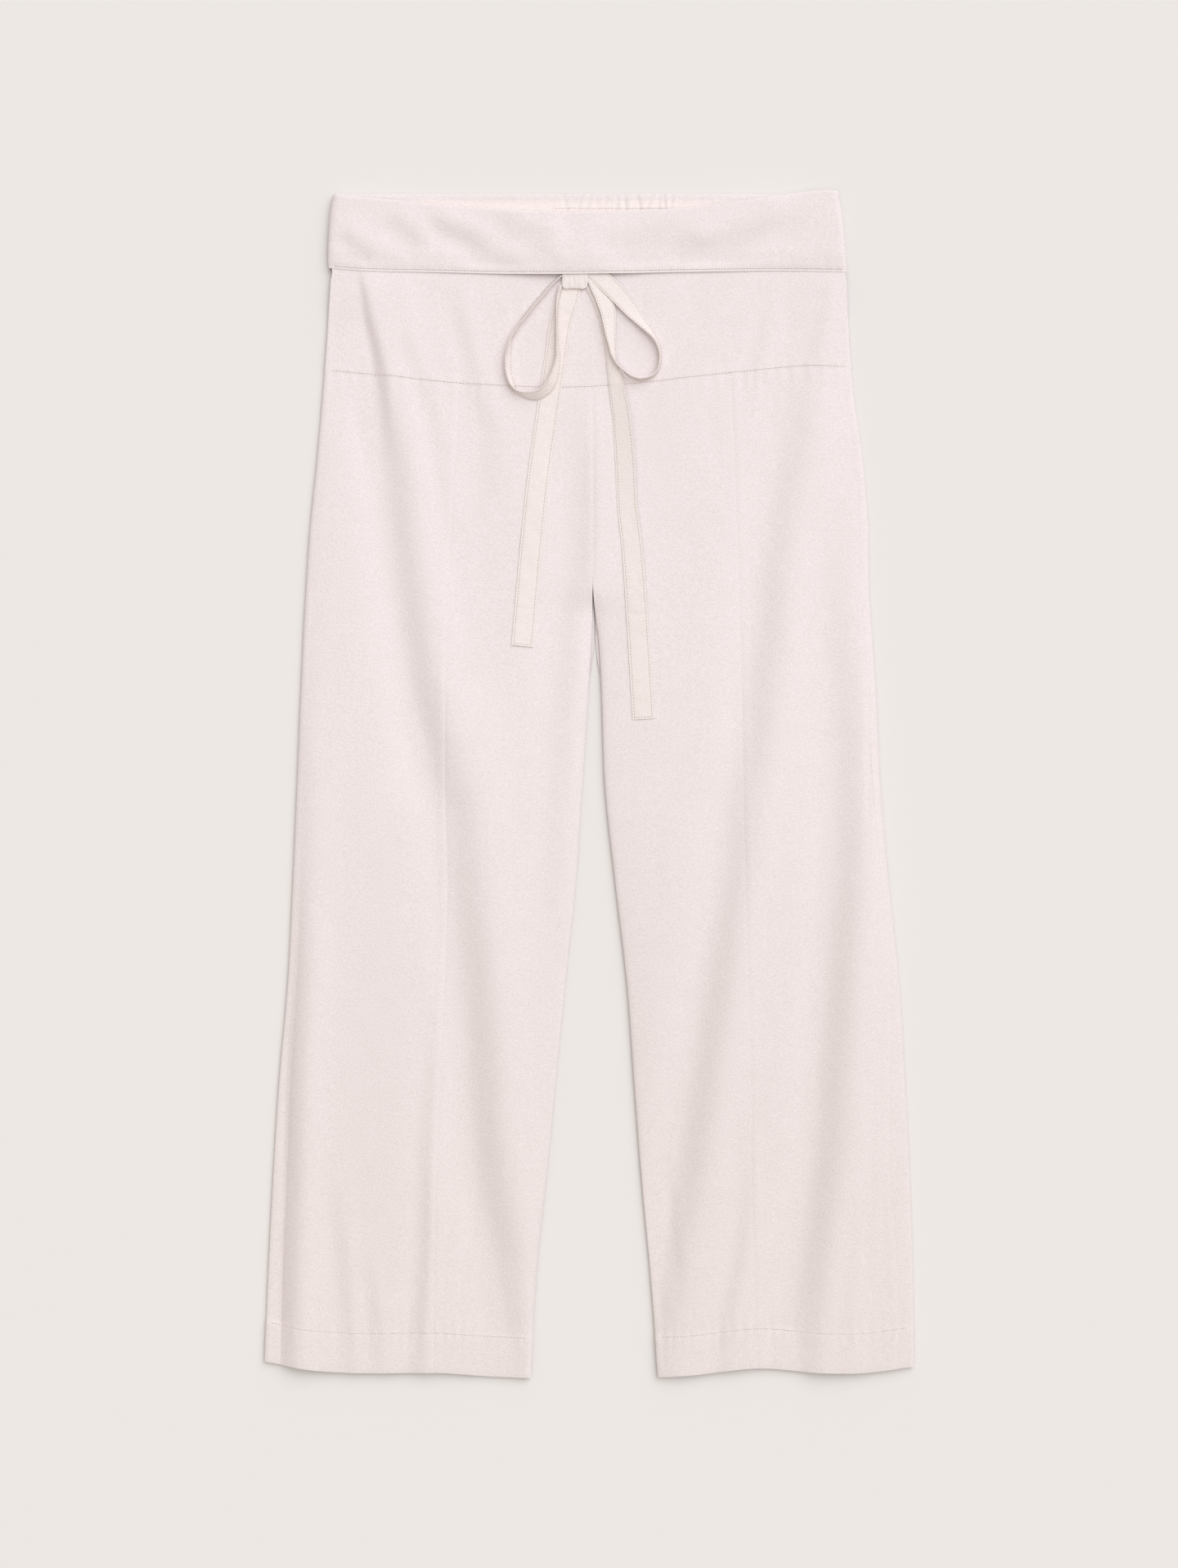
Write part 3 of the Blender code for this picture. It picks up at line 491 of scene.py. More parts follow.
# %% Short folds and creases
Fold = namedtuple("Fold", "start_x start_y bend_x bend_y end_x end_y half_width climb rise")
FLAP_FOLDS = [
    Fold(-140, 962, -112, 946, -66, 932, 9, 1.7, -0.3),
    Fold(-90, 960, -52, 948, -16, 942, 14, 1.4, 0.0),
    Fold(-172, 964, -150, 950, -130, 930, 9, 1.2, 0.0),
    Fold(-211, 952, -193, 938, -172, 924, 8, 1.1, 0.0),
    Fold(0, 936, 44, 946, 92, 958, 11, 1.5, 0.0),
    Fold(56, 923, 128, 944, 190, 970, 13, 1.7, 0.0),
    Fold(10, 930, 70, 934, 120, 946, 9, 0.9, 0.0),
    Fold(-30, 925, -24, 945, -26, 960, 10, -0.7, 0.5),
    Fold(-54, 961, -45, 963.5, -36, 965, 3, 0.0, -0.9),
    Fold(-110, 935, -80, 926, -46, 922, 8, 0.9, 0.0),
]
CREASES = [
    Fold(231.5, 648, 230.6, 560, 231.0, 395, 2.2, 0.0, -0.6),
    Fold(-70, 905, -62, 888, -60, 868, 4, 0.0, -0.35),
    Fold(40, 905, 45, 880, 42, 858, 4, 0.0, -0.35),
    Fold(92, 812, 104, 780, 108, 742, 5, 0.0, -0.3),
    Fold(-30, 812, -34, 770, -31, 728, 5, 0.0, -0.3),
    Fold(-200, 822, -190, 790, -186, 742, 5, 0.0, -0.3),
    Fold(66, 190, 70, 120, 80, 50, 5, 0.3, -0.2),
    Fold(-90, 190, -98, 110, -112, 48, 5, 0.0, -0.35),
    Fold(236, 240, 233, 150, 229, 70, 5, 0.3, -0.3),
]


def short_fold_relief(folds, x, y):
    relief = np.zeros(np.shape(x))
    t = np.linspace(0, 1, 17)
    for fold in folds:
        line_x = (1 - t) ** 2 * fold.start_x + 2 * t * (1 - t) * fold.bend_x + t * t * fold.end_x
        line_y = (1 - t) ** 2 * fold.start_y + 2 * t * (1 - t) * fold.bend_y + t * t * fold.end_y
        reach = 3.2 * fold.half_width
        near = (x > line_x.min() - reach) & (x < line_x.max() + reach)
        near &= (y > line_y.min() - reach) & (y < line_y.max() + reach)
        step_x, step_y = np.diff(line_x), np.diff(line_y)
        off_x = x[near][:, None] - line_x[:-1]
        off_y = y[near][:, None] - line_y[:-1]
        share = np.clip((off_x * step_x + off_y * step_y) / (step_x**2 + step_y**2), 0, 1)
        off_x = off_x - share * step_x
        off_y = off_y - share * step_y
        away = np.hypot(off_x, off_y)
        best = away.argmin(axis=1)[:, None]
        along = (best[:, 0] + np.take_along_axis(share, best, 1)[:, 0]) / (len(t) - 1)
        lit = np.sign(off_x * LIGHT_FROM[0] + off_y * LIGHT_FROM[1])
        away = np.take_along_axis(away, best, 1)[:, 0] / fold.half_width
        lit = np.take_along_axis(lit, best, 1)[:, 0]
        ends = ease(along / 0.3) * ease((1 - along) / 0.3)
        bell = np.exp(-away * away / 2)
        relief[near] += ends * (fold.climb * lit * away * bell * 1.65 + fold.rise * bell**2)
    return relief


# %% [markdown]
# Between the folds the cloth is never quite flat. Smooth value noise adds low unevenness in three sizes. Each
# size is longer down the leg than across it, because the cloth was pulled that way when it was laid out.

# %% Small unevenness
def soft_noise(x, y, size_x, size_y, seed):
    """Soft bumps from -1 to 1, each about size_x by size_y across."""
    lattice = np.random.default_rng(seed).uniform(-1, 1, (97, 97))
    u = x / size_x + 41.3
    v = y / size_y + 17.7
    i = np.floor(u).astype(int)
    j = np.floor(v).astype(int)
    a = ease(u - i)
    b = ease(v - j)
    low = lattice[i % 97, j % 97] * (1 - a) + lattice[(i + 1) % 97, j % 97] * a
    high = lattice[i % 97, (j + 1) % 97] * (1 - a) + lattice[(i + 1) % 97, (j + 1) % 97] * a
    return low * (1 - b) + high * b


def unevenness(x, y, seed=3):
    slanted = x + 0.18 * y
    broad = soft_noise(slanted, y, 41, 118, seed)
    middle = soft_noise(x - 0.1 * y, y, 15, 47, seed + 1)
    fine = soft_noise(x, y, 6.1, 10.5, seed + 2)
    return 0.34 * broad + 0.15 * middle + 0.06 * fine


# %% [markdown]
# ## Seams and hems
#
# A seam draws the cloth down along its line, and the turnings pressed to one side make a low ridge beside it.
# The stitches of a hem pull the cloth in, and leave small puckers that die out on both sides of the row.

# %% The form of a seam and of a hem
SEAM_DIP = 0.16
SEAM_DIP_WIDTH = 1.2
TURNING_RISE = 0.15
TURNING_WIDTH = 8.0
HEM_DEPTH = 34.0
HEM_STITCH = 33.0
PUCKER_PITCH = 8.6
PUCKER_RISE = 0.34


def seam_form(distance):
    """The relief beside a seam. The turnings lie on the side where the distance is above zero."""
    dip = -SEAM_DIP * np.exp(-((distance / SEAM_DIP_WIDTH) ** 2))
    ridge = ease((distance - 0.6) / 1.6) * ease((TURNING_WIDTH - distance) / 2.4)
    return dip + TURNING_RISE * ridge


def hem_form(side, x, y):
    above = y - hem_line(side, x)
    from_row = above - HEM_STITCH
    phase = 2 * np.pi * x / PUCKER_PITCH + 2.6 * soft_noise(x, y, 23, 60, 21)
    strength = 0.6 + 0.5 * soft_noise(x, y, 31, 90, 22)
    puckers = PUCKER_RISE * strength * np.sin(phase) * np.exp(-abs(from_row) / 8)
    groove = -0.22 * np.exp(-((from_row / 1.2) ** 2))
    turned = -0.35 * np.exp(-((above / 2.2) ** 2))
    return puckers + groove + turned


def yoke_puckers(x, y):
    """Short gathers that start at the yoke seam, longer below it than above."""
    below = smooth(YOKE_SEAM, x) - y
    phase = 2 * np.pi * x / 10.5 + 3.2 * soft_noise(x, y, 19, 70, 25)
    strength = 0.5 + 0.5 * soft_noise(x, y, 43, 200, 26)
    fade = np.exp(-np.maximum(below, 0) / 10 - np.maximum(-below, 0) / 4)
    return 0.42 * strength * np.sin(phase) * fade


# %% [markdown]
# ## Heights
#
# The trousers lie in layers: the back on the floor, the front on the back, and at the top the folded waist
# with the tie between its layers. Each layer is one height for every place, so two layers can't cross.

# %% Layers of the cloth
WALL = 1.0
SOLID_WALL = 1.1
HEM_WALL = 1.8
LAYER_STEP = 1.4
SEAM_GAP = 0.3
SHOWN_GAP = 0.02
LEAST_SLACK = 0.95
ROLLED_EDGE_GAP = 1.0
BACK_RISE_START = 864.5
BACK_RISE_RUN = 40.0
FRONT_CROTCH = 646.0
BACK_CROTCH = 615.0
CROTCH_RUN = 46.0
CROTCH_THINNING = 24.0
ROLL_WIDTH = 3.6
EDGE_TAPER = 0.85
EDGE_TAPER_RUN = 20.0
Loft = namedtuple("Loft", "place lift")
FRONT_LOFT = [
    Loft(0, 5.6), Loft(40, 6.6), Loft(120, 7.6), Loft(300, 7.9), Loft(600, 7.4), Loft(760, 6.7),
    Loft(850, 6.0), Loft(900, 5.6), Loft(925, 4.9), Loft(985, 4.8),
]


def half_wall(side, x, y):
    inside_hem = ease((hem_line(side, x) + HEM_DEPTH + 2 - y) / 4)
    return (SOLID_WALL + (HEM_WALL - SOLID_WALL) * inside_hem) / 2


def on_back_flap(y):
    return ease((y - BACK_RISE_START) / BACK_RISE_RUN)


def back_height(side, x, y):
    return half_wall(side, x, y) + on_back_flap(y) * 2 * LAYER_STEP


def near_edge(side, x, y, run):
    """1 at the open edges of a leg, falling to 0 inside it."""
    opened = ease((FRONT_CROTCH + 8 - y) / CROTCH_THINNING)
    outer = np.exp(-abs(x - section(side + "_outer", y)) / run)
    inner = np.exp(-abs(x - section(side + "_inner", y)) / run)
    return np.minimum(outer + opened * inner, 1)


def plain_front_height(side, x, y):
    """The middle of the front cloth with its long folds alone."""
    slack = LEAST_SLACK * (1 - on_back_flap(y))
    lowest = back_height(side, x, y) + 2 * half_wall(side, x, y) + SEAM_GAP + slack
    loft = (smooth(FRONT_LOFT, y) - lowest) * (1 - EDGE_TAPER * near_edge(side, x, y, EDGE_TAPER_RUN))
    puff = loft + long_fold_relief(x, y) * (1 - near_edge(side, x, y, 5.0))
    return lowest + (puff + np.hypot(puff, 0.5)) / 2


def front_height(side, x, y):
    """The middle of the front cloth, with seams, hems, creases and unevenness."""
    way = -1 if side == "right" else 1
    outer = section(side + "_outer", y)
    inner = section(side + "_inner", y)
    inside = ease(abs(x - outer) / 9) * ease(abs(x - inner) / 5 + 0.35)
    below_yoke = ease((smooth(YOKE_SEAM, x) - y + 2) / 3)
    small = unevenness(x, y) + short_fold_relief(CREASES, x, y)
    small = small + 0.7 * seam_form(y - smooth(YOKE_SEAM, x)) + yoke_puckers(x, y)
    lower = 1 + 0.6 * ease((640 - y) / 80) * (side == "right")
    small = small + below_yoke * lower * seam_form(way * (x - section(side + "_seam", y)))
    centre = below_yoke * ease((y - FRONT_CROTCH) / 20)
    small = small + centre * seam_form(way * (x - inner))
    edge = outer - way * section(side + "_side_inset", y)
    small = small + below_yoke * ease((410 - y) / 60) * seam_form(way * (edge - x))
    return plain_front_height(side, x, y) + inside * small + hem_form(side, x, y)


def rolled(height, meeting, distance, amount, width=ROLL_WIDTH):
    """A height that runs to where the two layers meet at the cloth's edge."""
    inward = np.clip(1 - distance / width, 0, 1)
    return height + amount * (meeting - height) * (1 - np.sqrt(1 - inward * inward))


def meeting_height(side, x, y, above):
    middle = (plain_front_height(side, x, y) + back_height(side, x, y)) / 2
    gap = ROLLED_EDGE_GAP + 2 * half_wall(side, x, y) - SOLID_WALL
    return middle + (gap / 2 if above else -gap / 2)


def cloth_top(x, y):
    """The upper face of the front cloth, whichever leg a point is on."""
    middle = np.where(x < 3, front_height("right", x, y), front_height("left", x, y))
    return middle + WALL / 2


# %% [markdown]
# ## From a grid of heights to a sheet of cloth
#
# Each panel is a grid of points for the middle of its cloth. Blender's Solidify modifier then gives it a
# thickness, evenly on both sides. That keeps the mesh simple, and the cut edges get a real thickness too.

# %% Making a sheet
def object_from(name, points, faces, finish):
    mesh = bpy.data.meshes.new(name)
    shift = np.array([ORIGIN_X, ORIGIN_Y, 0.0])
    mesh.from_pydata(((np.asarray(points) + shift) * MM).tolist(), [], faces)
    mesh.materials.append(materials[finish])
    mesh.shade_smooth()
    made = bpy.data.objects.new(name, mesh)
    bpy.context.scene.collection.objects.link(made)
    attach(made, "root")
    return made


def grid_faces(rows, columns):
    corner = (np.arange(rows - 1)[:, None] * columns + np.arange(columns - 1)).reshape(-1)
    return np.stack([corner, corner + 1, corner + columns + 1, corner + columns], axis=1).tolist()


def keep_seam_crisp(mesh, rows, columns, seams):
    """Marks a grid's edges along its seams as sharp, so that its shading runs flat up to the seam."""
    first = {
        "bottom": set(range(columns)),
        "top": set(range((rows - 1) * columns, rows * columns)),
        "start": set(range(0, rows * columns, columns)),
        "end": set(range(columns - 1, rows * columns, columns)),
    }
    for seam in seams:
        line = first[seam]
        for edge in mesh.edges:
            if edge.vertices[0] in line and edge.vertices[1] in line:
                edge.use_edge_sharp = True


def sheet_of_cloth(name, node, grid, finish, walls, seams=()):
    """A thin closed wall round a grid of points, standing for one solid of the model."""
    rows, columns, _ = grid.shape
    made = object_from(name, grid.reshape(-1, 3), grid_faces(rows, columns), finish)
    keep_seam_crisp(made.data, rows, columns, seams)
    thin, thick = float(np.min(walls)), float(np.max(walls))
    wall = made.modifiers.new("wall", "SOLIDIFY")
    wall.offset = 0
    wall.thickness = thick * MM
    if thick > thin:
        group = made.vertex_groups.new(name="thicker")
        shares = np.round((walls - thin) / (thick - thin), 2).reshape(-1)
        for share in np.unique(shares):
            group.add(np.flatnonzero(shares == share).tolist(), float(share), "REPLACE")
        wall.vertex_group = group.name
        wall.thickness_vertex_group = thin / thick
    if node:
        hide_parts(node)
    return made


def cut_of(grid):
    """The flat piece that a grid was cut from: its width, its length and its area, in metres."""
    across = np.linalg.norm(np.diff(grid, axis=1), axis=-1)
    along = np.linalg.norm(np.diff(grid, axis=0), axis=-1)
    width = across.sum(axis=1).max()
    length = along.sum(axis=0).max()
    one = grid[1:, :-1] - grid[:-1, :-1]
    two = grid[:-1, 1:] - grid[:-1, :-1]
    area = np.linalg.norm(np.cross(one, two), axis=-1).sum()
    return (width * MM, length * MM), min(area * MM * MM, width * length * MM * MM)


def declare_sheet(made, grid, lies_on):
    flat, area = cut_of(grid)
    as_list(lies_on)
    print(made.name, "cut", round(flat[0], 3), "by", round(flat[1], 3), "m")


# %% [markdown]
# ## The legs
#
# Each leg is a flat tube: two front panels with a seam between them, and a back panel whose outer edge rolls
# over to the front. So the side seam lies on top, a finger's width in from the edge, and widens to the hem.
# Rows run from the hem to the yoke seam, and columns from the inside leg outwards.

# %% Spreading points over a leg
HEM_STEP = 2.4
ROW_STEP = 3.0
COLUMN_STEP = 2.1
ROLL_ANGLES = np.radians((0, 14, 28, 42, 56, 70, 90))
LEG_LENGTH = 822.0


def leg_rows():
    """Shares of the leg's length, closer together in the hem."""
    hem = np.arange(0, 48, HEM_STEP)
    rest = np.linspace(48, LEG_LENGTH, int((LEG_LENGTH - 48) / ROW_STEP))
    return np.concatenate([hem, rest]) / LEG_LENGTH


def between_hem_and_yoke(side, place_x, shares, columns):
    shares = np.asarray(shares)[:, None]
    y = np.repeat(shares, columns, axis=1) * LEG_LENGTH
    for _ in range(6):
        x = place_x(y)
        low = hem_line(side, x)
        y = low + (smooth(YOKE_SEAM, x) - SHOWN_GAP / 2 - low) * shares
    return place_x(y), y


def walls_of(side, x, y):
    return WALL + 0.55 * (2 * half_wall(side, x, y) - SOLID_WALL)


# %% The two front panels of a leg
def front_inner_panel(side):
    way = -1 if side == "right" else 1
    near = ROLL_WIDTH * (1 - np.cos(ROLL_ANGLES))
    shares = np.linspace(0, 1, int(124 / COLUMN_STEP) + 1)[1:]

    def place_x(y):
        sewn = ease((y - FRONT_CROTCH) / 16)
        centre = (section("right_inner", y) + section("left_inner", y)) / 2 + way * SHOWN_GAP / 2
        inner = section(side + "_inner", y) + way * WALL / 2
        inner = inner + sewn * (centre - inner)
        seam = section(side + "_seam", y) - way * SHOWN_GAP / 2
        columns = [inner[:, j] + way * step for j, step in enumerate(near)]
        last = inner + way * near[-1]
        for j, share in enumerate(shares):
            k = len(near) + j
            columns.append(last[:, k] + share * (seam[:, k] - last[:, k]))
        return np.stack(columns, axis=1)

    x, y = between_hem_and_yoke(side, place_x, leg_rows(), len(near) + len(shares))
    distance = abs(x - section(side + "_inner", y)) - WALL / 2
    opened = ease((FRONT_CROTCH - y) / CROTCH_RUN)
    z = rolled(front_height(side, x, y), meeting_height(side, x, y, True), distance, opened)
    grid = np.stack([x, y, z], axis=-1)
    name = "inner_panel_" + side
    walls = walls_of(side, x, y)
    made = sheet_of_cloth(name, "front_inner_" + side, grid, "cloth", walls, ("start", "end", "top", "bottom"))
    return made, grid


def front_outer_panel(side):
    way = -1 if side == "right" else 1
    shares = np.linspace(0, 1, int(134 / COLUMN_STEP) + 1)

    def place_x(y):
        seam = section(side + "_seam", y) + way * SHOWN_GAP / 2
        edge = section(side + "_outer", y) - way * section(side + "_side_inset", y)
        return seam + shares * (edge - way * SHOWN_GAP / 2 - seam)

    x, y = between_hem_and_yoke(side, place_x, leg_rows(), len(shares))
    grid = np.stack([x, y, front_height(side, x, y)], axis=-1)
    name = "outer_panel_" + side
    walls = walls_of(side, x, y)
    seams = ("start", "end", "top", "bottom")
    made = sheet_of_cloth(name, "front_outer_" + side, grid, "cloth", walls, seams)
    return made, grid


# %% [markdown]
# The back panel lies on the floor for most of its width. Round the outer edge its columns follow half a
# circle, and the last few lie on top, level with the front, up to the side seam. Its inner edge shows
# through the open point of the crotch, where it is pushed up a little.

# %% The back panel of a leg
CENTRE_BACK = 4.5
WRAP_STEPS = 10
STRIP_COLUMNS = 7
CROTCH_RISE = 0.85
BACK_COLUMNS = 44


def back_panel(side):
    way = -1 if side == "right" else 1
    near = ROLL_WIDTH * (1 - np.cos(ROLL_ANGLES))
    shares = np.linspace(0, 1, BACK_COLUMNS + 1)[1:]
    angles = np.radians(np.linspace(-90, 90, WRAP_STEPS + 1))[1:]
    strip = np.linspace(0, 1, STRIP_COLUMNS + 1)[1:]
    flat_columns = len(near) + len(shares)
    columns = flat_columns + len(angles) + len(strip)

    def inner_edge(y):
        follows = ease((BACK_CROTCH - y) / CROTCH_RUN)
        seam = CENTRE_BACK + way * SEAM_GAP / 2
        return seam + follows * (section(side + "_inner", y) - seam)

    def place_x(y):
        inner = inner_edge(y)
        turn = section(side + "_outer", y) - way * (WALL / 2 + ROLL_WIDTH)
        found = [inner[:, j] + way * (step + WALL / 2) for j, step in enumerate(near)]
        last = inner + way * (near[-1] + WALL / 2)
        for j, share in enumerate(shares):
            k = len(near) + j
            found.append(last[:, k] + share * (turn[:, k] - last[:, k]))
        for j, angle in enumerate(angles):
            found.append(turn[:, flat_columns + j] + way * ROLL_WIDTH * np.cos(angle))
        for j, share in enumerate(strip):
            k = flat_columns + len(angles) + j
            inset = section(side + "_side_inset", y[:, k]) - SHOWN_GAP / 2
            seam = section(side + "_outer", y[:, k]) - way * inset
            found.append(turn[:, k] + share * (seam - turn[:, k]))
        return np.stack(found, axis=1)

    x, y = between_hem_and_yoke(side, place_x, leg_rows(), columns)
    distance = abs(x - inner_edge(y)) - WALL / 2
    opened = ease((BACK_CROTCH - y) / CROTCH_RUN)
    low = back_height(side, x, y)
    z = rolled(low, meeting_height(side, x, y, False), distance, opened)
    z = z + CROTCH_RISE * np.exp(-(((x - 4) / 12) ** 2) - ((y - 634) / 20) ** 2)
    top = front_height(side, x, y)
    for j, angle in enumerate(angles):
        k = flat_columns + j
        z[:, k] = low[:, k] + (1 + np.sin(angle)) / 2 * (top[:, k] - low[:, k])
    z[:, flat_columns + len(angles) :] = top[:, flat_columns + len(angles) :]
    grid = np.stack([x, y, z], axis=-1)
    name = "back_panel_" + side
    walls = walls_of(side, x, y)
    made = sheet_of_cloth(name, "back_" + side, grid, "cloth", walls, ("end", "top", "bottom"))
    return made, grid


# %% Both legs
for side in ("right", "left"):
    made, grid = back_panel(side)
    declare_sheet(made, grid, floor)
    for build in (front_inner_panel, front_outer_panel):
        panel, grid = build(side)
        declare_sheet(panel, grid, made)

# %% [markdown]
# ## The waist
#
# Above the yoke seam stand two more panels, front and back. Both are folded over outwards at the top. The
# front one shows its folded flap with a narrow stitched hem, loose over the bow. Behind its crest a strip
# of the back's inside shows, drawn up in small puckers.

# %% The flap's stand, and its edges
FLAP_EDGE_LIFT = [
    Loft(-216, 0.2), Loft(-150, 1.2), Loft(-100, 3.0), Loft(-50, 3.8), Loft(15, 3.4), Loft(60, 3.6),
    Loft(100, 3.4), Loft(140, 1.4), Loft(213, 0.2),
]
FLAP_LIFT_RUN = 26.0
FLAP_LIE_RUN = 18.0
FLAP_EDGE_WALL = 0.45
FLAP_SIDE_INSET = 2.2
TUCK_START = 908.0
TUCK_RUN = 8.0
WAIST_ROLL_TOP = 900.0
WAIST_ROLL_RUN = 22.0
KNOT_X = -11.6
KNOT_Y = 914.5
KNOT_TOP = 4.9
FLAP_ROLL = 6.0
BULGE_Y = 920.0
BULGE_HALF_WIDTH = 52.0
BULGE_HALF_DEPTH = 38.0


def flap_wall(x, y):
    """The flap's thickness, which thins to its hem."""
    return WALL - (WALL - FLAP_EDGE_WALL) * ease(1 - (y - smooth(FLAP_HEM, x)) / 6)


def flap_lift(x, y):
    """How far the middle of the folded-over cloth lies above the middle of the cloth below it."""
    from_hem = y - smooth(FLAP_HEM, x)
    lies = ease(1 - from_hem / FLAP_LIE_RUN)
    touching = WALL / 2 + 0.06 + flap_wall(x, y) / 2
    loose = 0.26 * smooth(FLAP_EDGE_LIFT, x) * ease(1 - from_hem / FLAP_LIFT_RUN)
    spread = ((x - KNOT_X) / BULGE_HALF_WIDTH) ** 2 + ((y - BULGE_Y) / BULGE_HALF_DEPTH) ** 2
    over_bow = KNOT_TOP * np.exp(-(spread**1.15))
    return 2 * LAYER_STEP * (1 - lies) + touching * lies + np.hypot(loose, over_bow)


def flap_edges(y):
    right = smooth([(row.height, row.right) for row in FLAP_EDGES], y)
    left = smooth([(row.height, row.left) for row in FLAP_EDGES], y)
    return right, left


def main_edges(y):
    """The side edges of the waist's own layer, which tucks in under the flap."""
    right = section("right_outer", y)
    left = section("left_outer", y)
    flap_right, flap_left = flap_edges(y)
    under = ease((y - TUCK_START) / TUCK_RUN)
    tucked_right = right + under * (flap_right + FLAP_SIDE_INSET - right)
    return tucked_right, left + under * (flap_left - FLAP_SIDE_INSET - left)


# %% The waist's heights
def whole_front_height(x, y):
    return np.where(x < 3, front_height("right", x, y), front_height("left", x, y))


def flap_hem_form(x, y):
    """The flap's narrow stitched hem, with its puckers."""
    above = y - smooth(FLAP_HEM, x)
    phase = 2 * np.pi * x / 9.5 + 2.4 * soft_noise(x, y, 27, 60, 31)
    strength = 0.6 + 0.4 * soft_noise(x, y, 37, 90, 32)
    puckers = 0.22 * strength * (1 + np.sin(phase)) * np.exp(-above / 9) * ease(above / 3)
    return puckers - 0.34 * np.exp(-(((above - 2.3) / 1.1) ** 2))


Pucker = namedtuple("Pucker", "x lean depth")
PUCKERS = [
    Pucker(-66, 0.2, 0.15), Pucker(-47, -0.1, 0.2), Pucker(-31, 0.1, 0.25), Pucker(-20, -0.2, 0.55),
    Pucker(-8.5, 0.25, 0.5), Pucker(-1.7, 0.4, 0.45), Pucker(6, -0.1, 0.25), Pucker(13, 0.1, 0.3),
    Pucker(22.7, 0.05, 0.8), Pucker(29.4, -0.15, 0.6), Pucker(36.2, 0.3, 0.8), Pucker(41, -0.2, 0.65),
    Pucker(49, 0.45, 0.9), Pucker(57, 0.1, 0.7), Pucker(62, -0.1, 0.8), Pucker(67.4, 0.1, 0.85),
    Pucker(77, 0.2, 0.2), Pucker(92, -0.2, 0.15),
]


def inside_strip_form(x, y):
    """The back's inside at the top: a facing with a stitched edge, and puckers where it is drawn in."""
    relief = -0.45 * ease((975.3 - y) / 1.2)
    for pucker in PUCKERS:
        away = x - pucker.x - pucker.lean * (y - 972)
        relief = relief - pucker.depth * np.exp(-((away / 1.5) ** 2))
        relief = relief + 0.45 * pucker.depth * np.exp(-(((away - 3) / 2) ** 2))
    drawn = 0.3 * np.exp(-(((x - 46) / 26) ** 4)) * np.sin(x / 2.4 + 2 * soft_noise(x, y, 9, 70, 41))
    return relief + drawn


def waist_main_height(x, y, above):
    front = whole_front_height(x, y)
    back = np.where(x < 0, back_height("right", x, y), back_height("left", x, y))
    meeting = (front + back) / 2 + (ROLLED_EDGE_GAP / 2 if above else -ROLLED_EDGE_GAP / 2)
    right, left = main_edges(y)
    distance = np.minimum(x - right, left - x) - WALL / 2
    amount = ease((WAIST_ROLL_TOP - y) / WAIST_ROLL_RUN)
    own = front if above else back + inside_strip_form(x, y) * ease((y - 955) / 8) * ease((983 - y) / 6)
    return rolled(own, meeting, distance, amount)


def waist_flap_height(x, y, above):
    front = whole_front_height(x, y)
    middle = front - LAYER_STEP / 2
    right, left = flap_edges(y)
    distance = np.minimum(x - right, left - x) - WALL / 2
    if above:
        free = ease((y - smooth(FLAP_HEM, x)) / 9)
        own = short_fold_relief(FLAP_FOLDS, x, y) + 0.8 * unevenness(x, y, 51)
        flap = front + flap_lift(x, y) + free * own + flap_hem_form(x, y)
        return rolled(flap, middle + ROLLED_EDGE_GAP / 2, distance, 1.0, FLAP_ROLL)
    return rolled(np.full(x.shape, SOLID_WALL / 2), middle - ROLLED_EDGE_GAP / 2, distance, 1.0)


# %% Folding a waist panel
WAIST_COLUMN_STEP = 2.2


def waist_columns(low_edge, high_edge, count):
    near = ROLL_WIDTH * (1 - np.cos(ROLL_ANGLES))
    inner = np.linspace(0, 1, count + 2)[1:-1]
    low = low_edge + WALL / 2 + near
    high = high_edge - WALL / 2 - near[::-1]
    middle = low[..., -1:] + inner * (high[..., :1] - low[..., -1:])
    return np.concatenate([low, middle, high], axis=-1)


def spread_rows(edges, top_of, bottom_of, shares, count):
    y = np.full((len(shares), count + 2 * len(ROLL_ANGLES)), TUCK_START)
    for _ in range(5):
        right, left = edges(y[:, :1])
        x = waist_columns(right, left, count)
        low = bottom_of(x)
        y = low + (top_of(x) - low) * np.asarray(shares)[:, None]
    return x, y


def waist_panel(name, node, above, count, main_rows, flap_rows, crest_steps):
    """A waist panel from the yoke seam up, over the crest and down again on the outside."""

    def crest(x):
        own = smooth(FRONT_CREST, x) if above else np.full(x.shape, BACK_TOP)
        return own - LAYER_STEP - WALL / 2

    def flap_hem(x):
        return smooth(FLAP_HEM, x) if above else np.full(x.shape, BACK_FLAP_HEM)

    def yoke(x):
        return smooth(YOKE_SEAM, x) + (SHOWN_GAP / 2 if above else 0.9)

    x, y = spread_rows(main_edges, crest, yoke, np.linspace(0, 1, main_rows), count)
    main = np.stack([x, y, waist_main_height(x, y, above)], axis=-1)
    x, y = spread_rows(flap_edges, crest, flap_hem, np.linspace(1, 0, flap_rows), count)
    flap = np.stack([x, y, waist_flap_height(x, y, above)], axis=-1)
    middle = (main[-1] + flap[0]) / 2
    half = (flap[0] - main[-1]) / 2
    turn = []
    for angle in np.linspace(0, np.pi, crest_steps + 1)[1:-1]:
        point = middle - np.cos(angle) * half
        point[:, 1] += np.sin(angle) * LAYER_STEP
        turn.append(point)
    grid = np.concatenate([main, np.array(turn), flap])
    walls = np.full(grid.shape[:2], WALL)
    walls[-flap_rows:] = flap_wall(x, y)
    return sheet_of_cloth(name, node, grid, "cloth", walls, ("bottom", "top")), grid


# %% Both waist panels
waist_back, grid = waist_panel("waist_behind", "waist_back", False, 320, 56, 16, 8)
declare_sheet(waist_back, grid, floor)


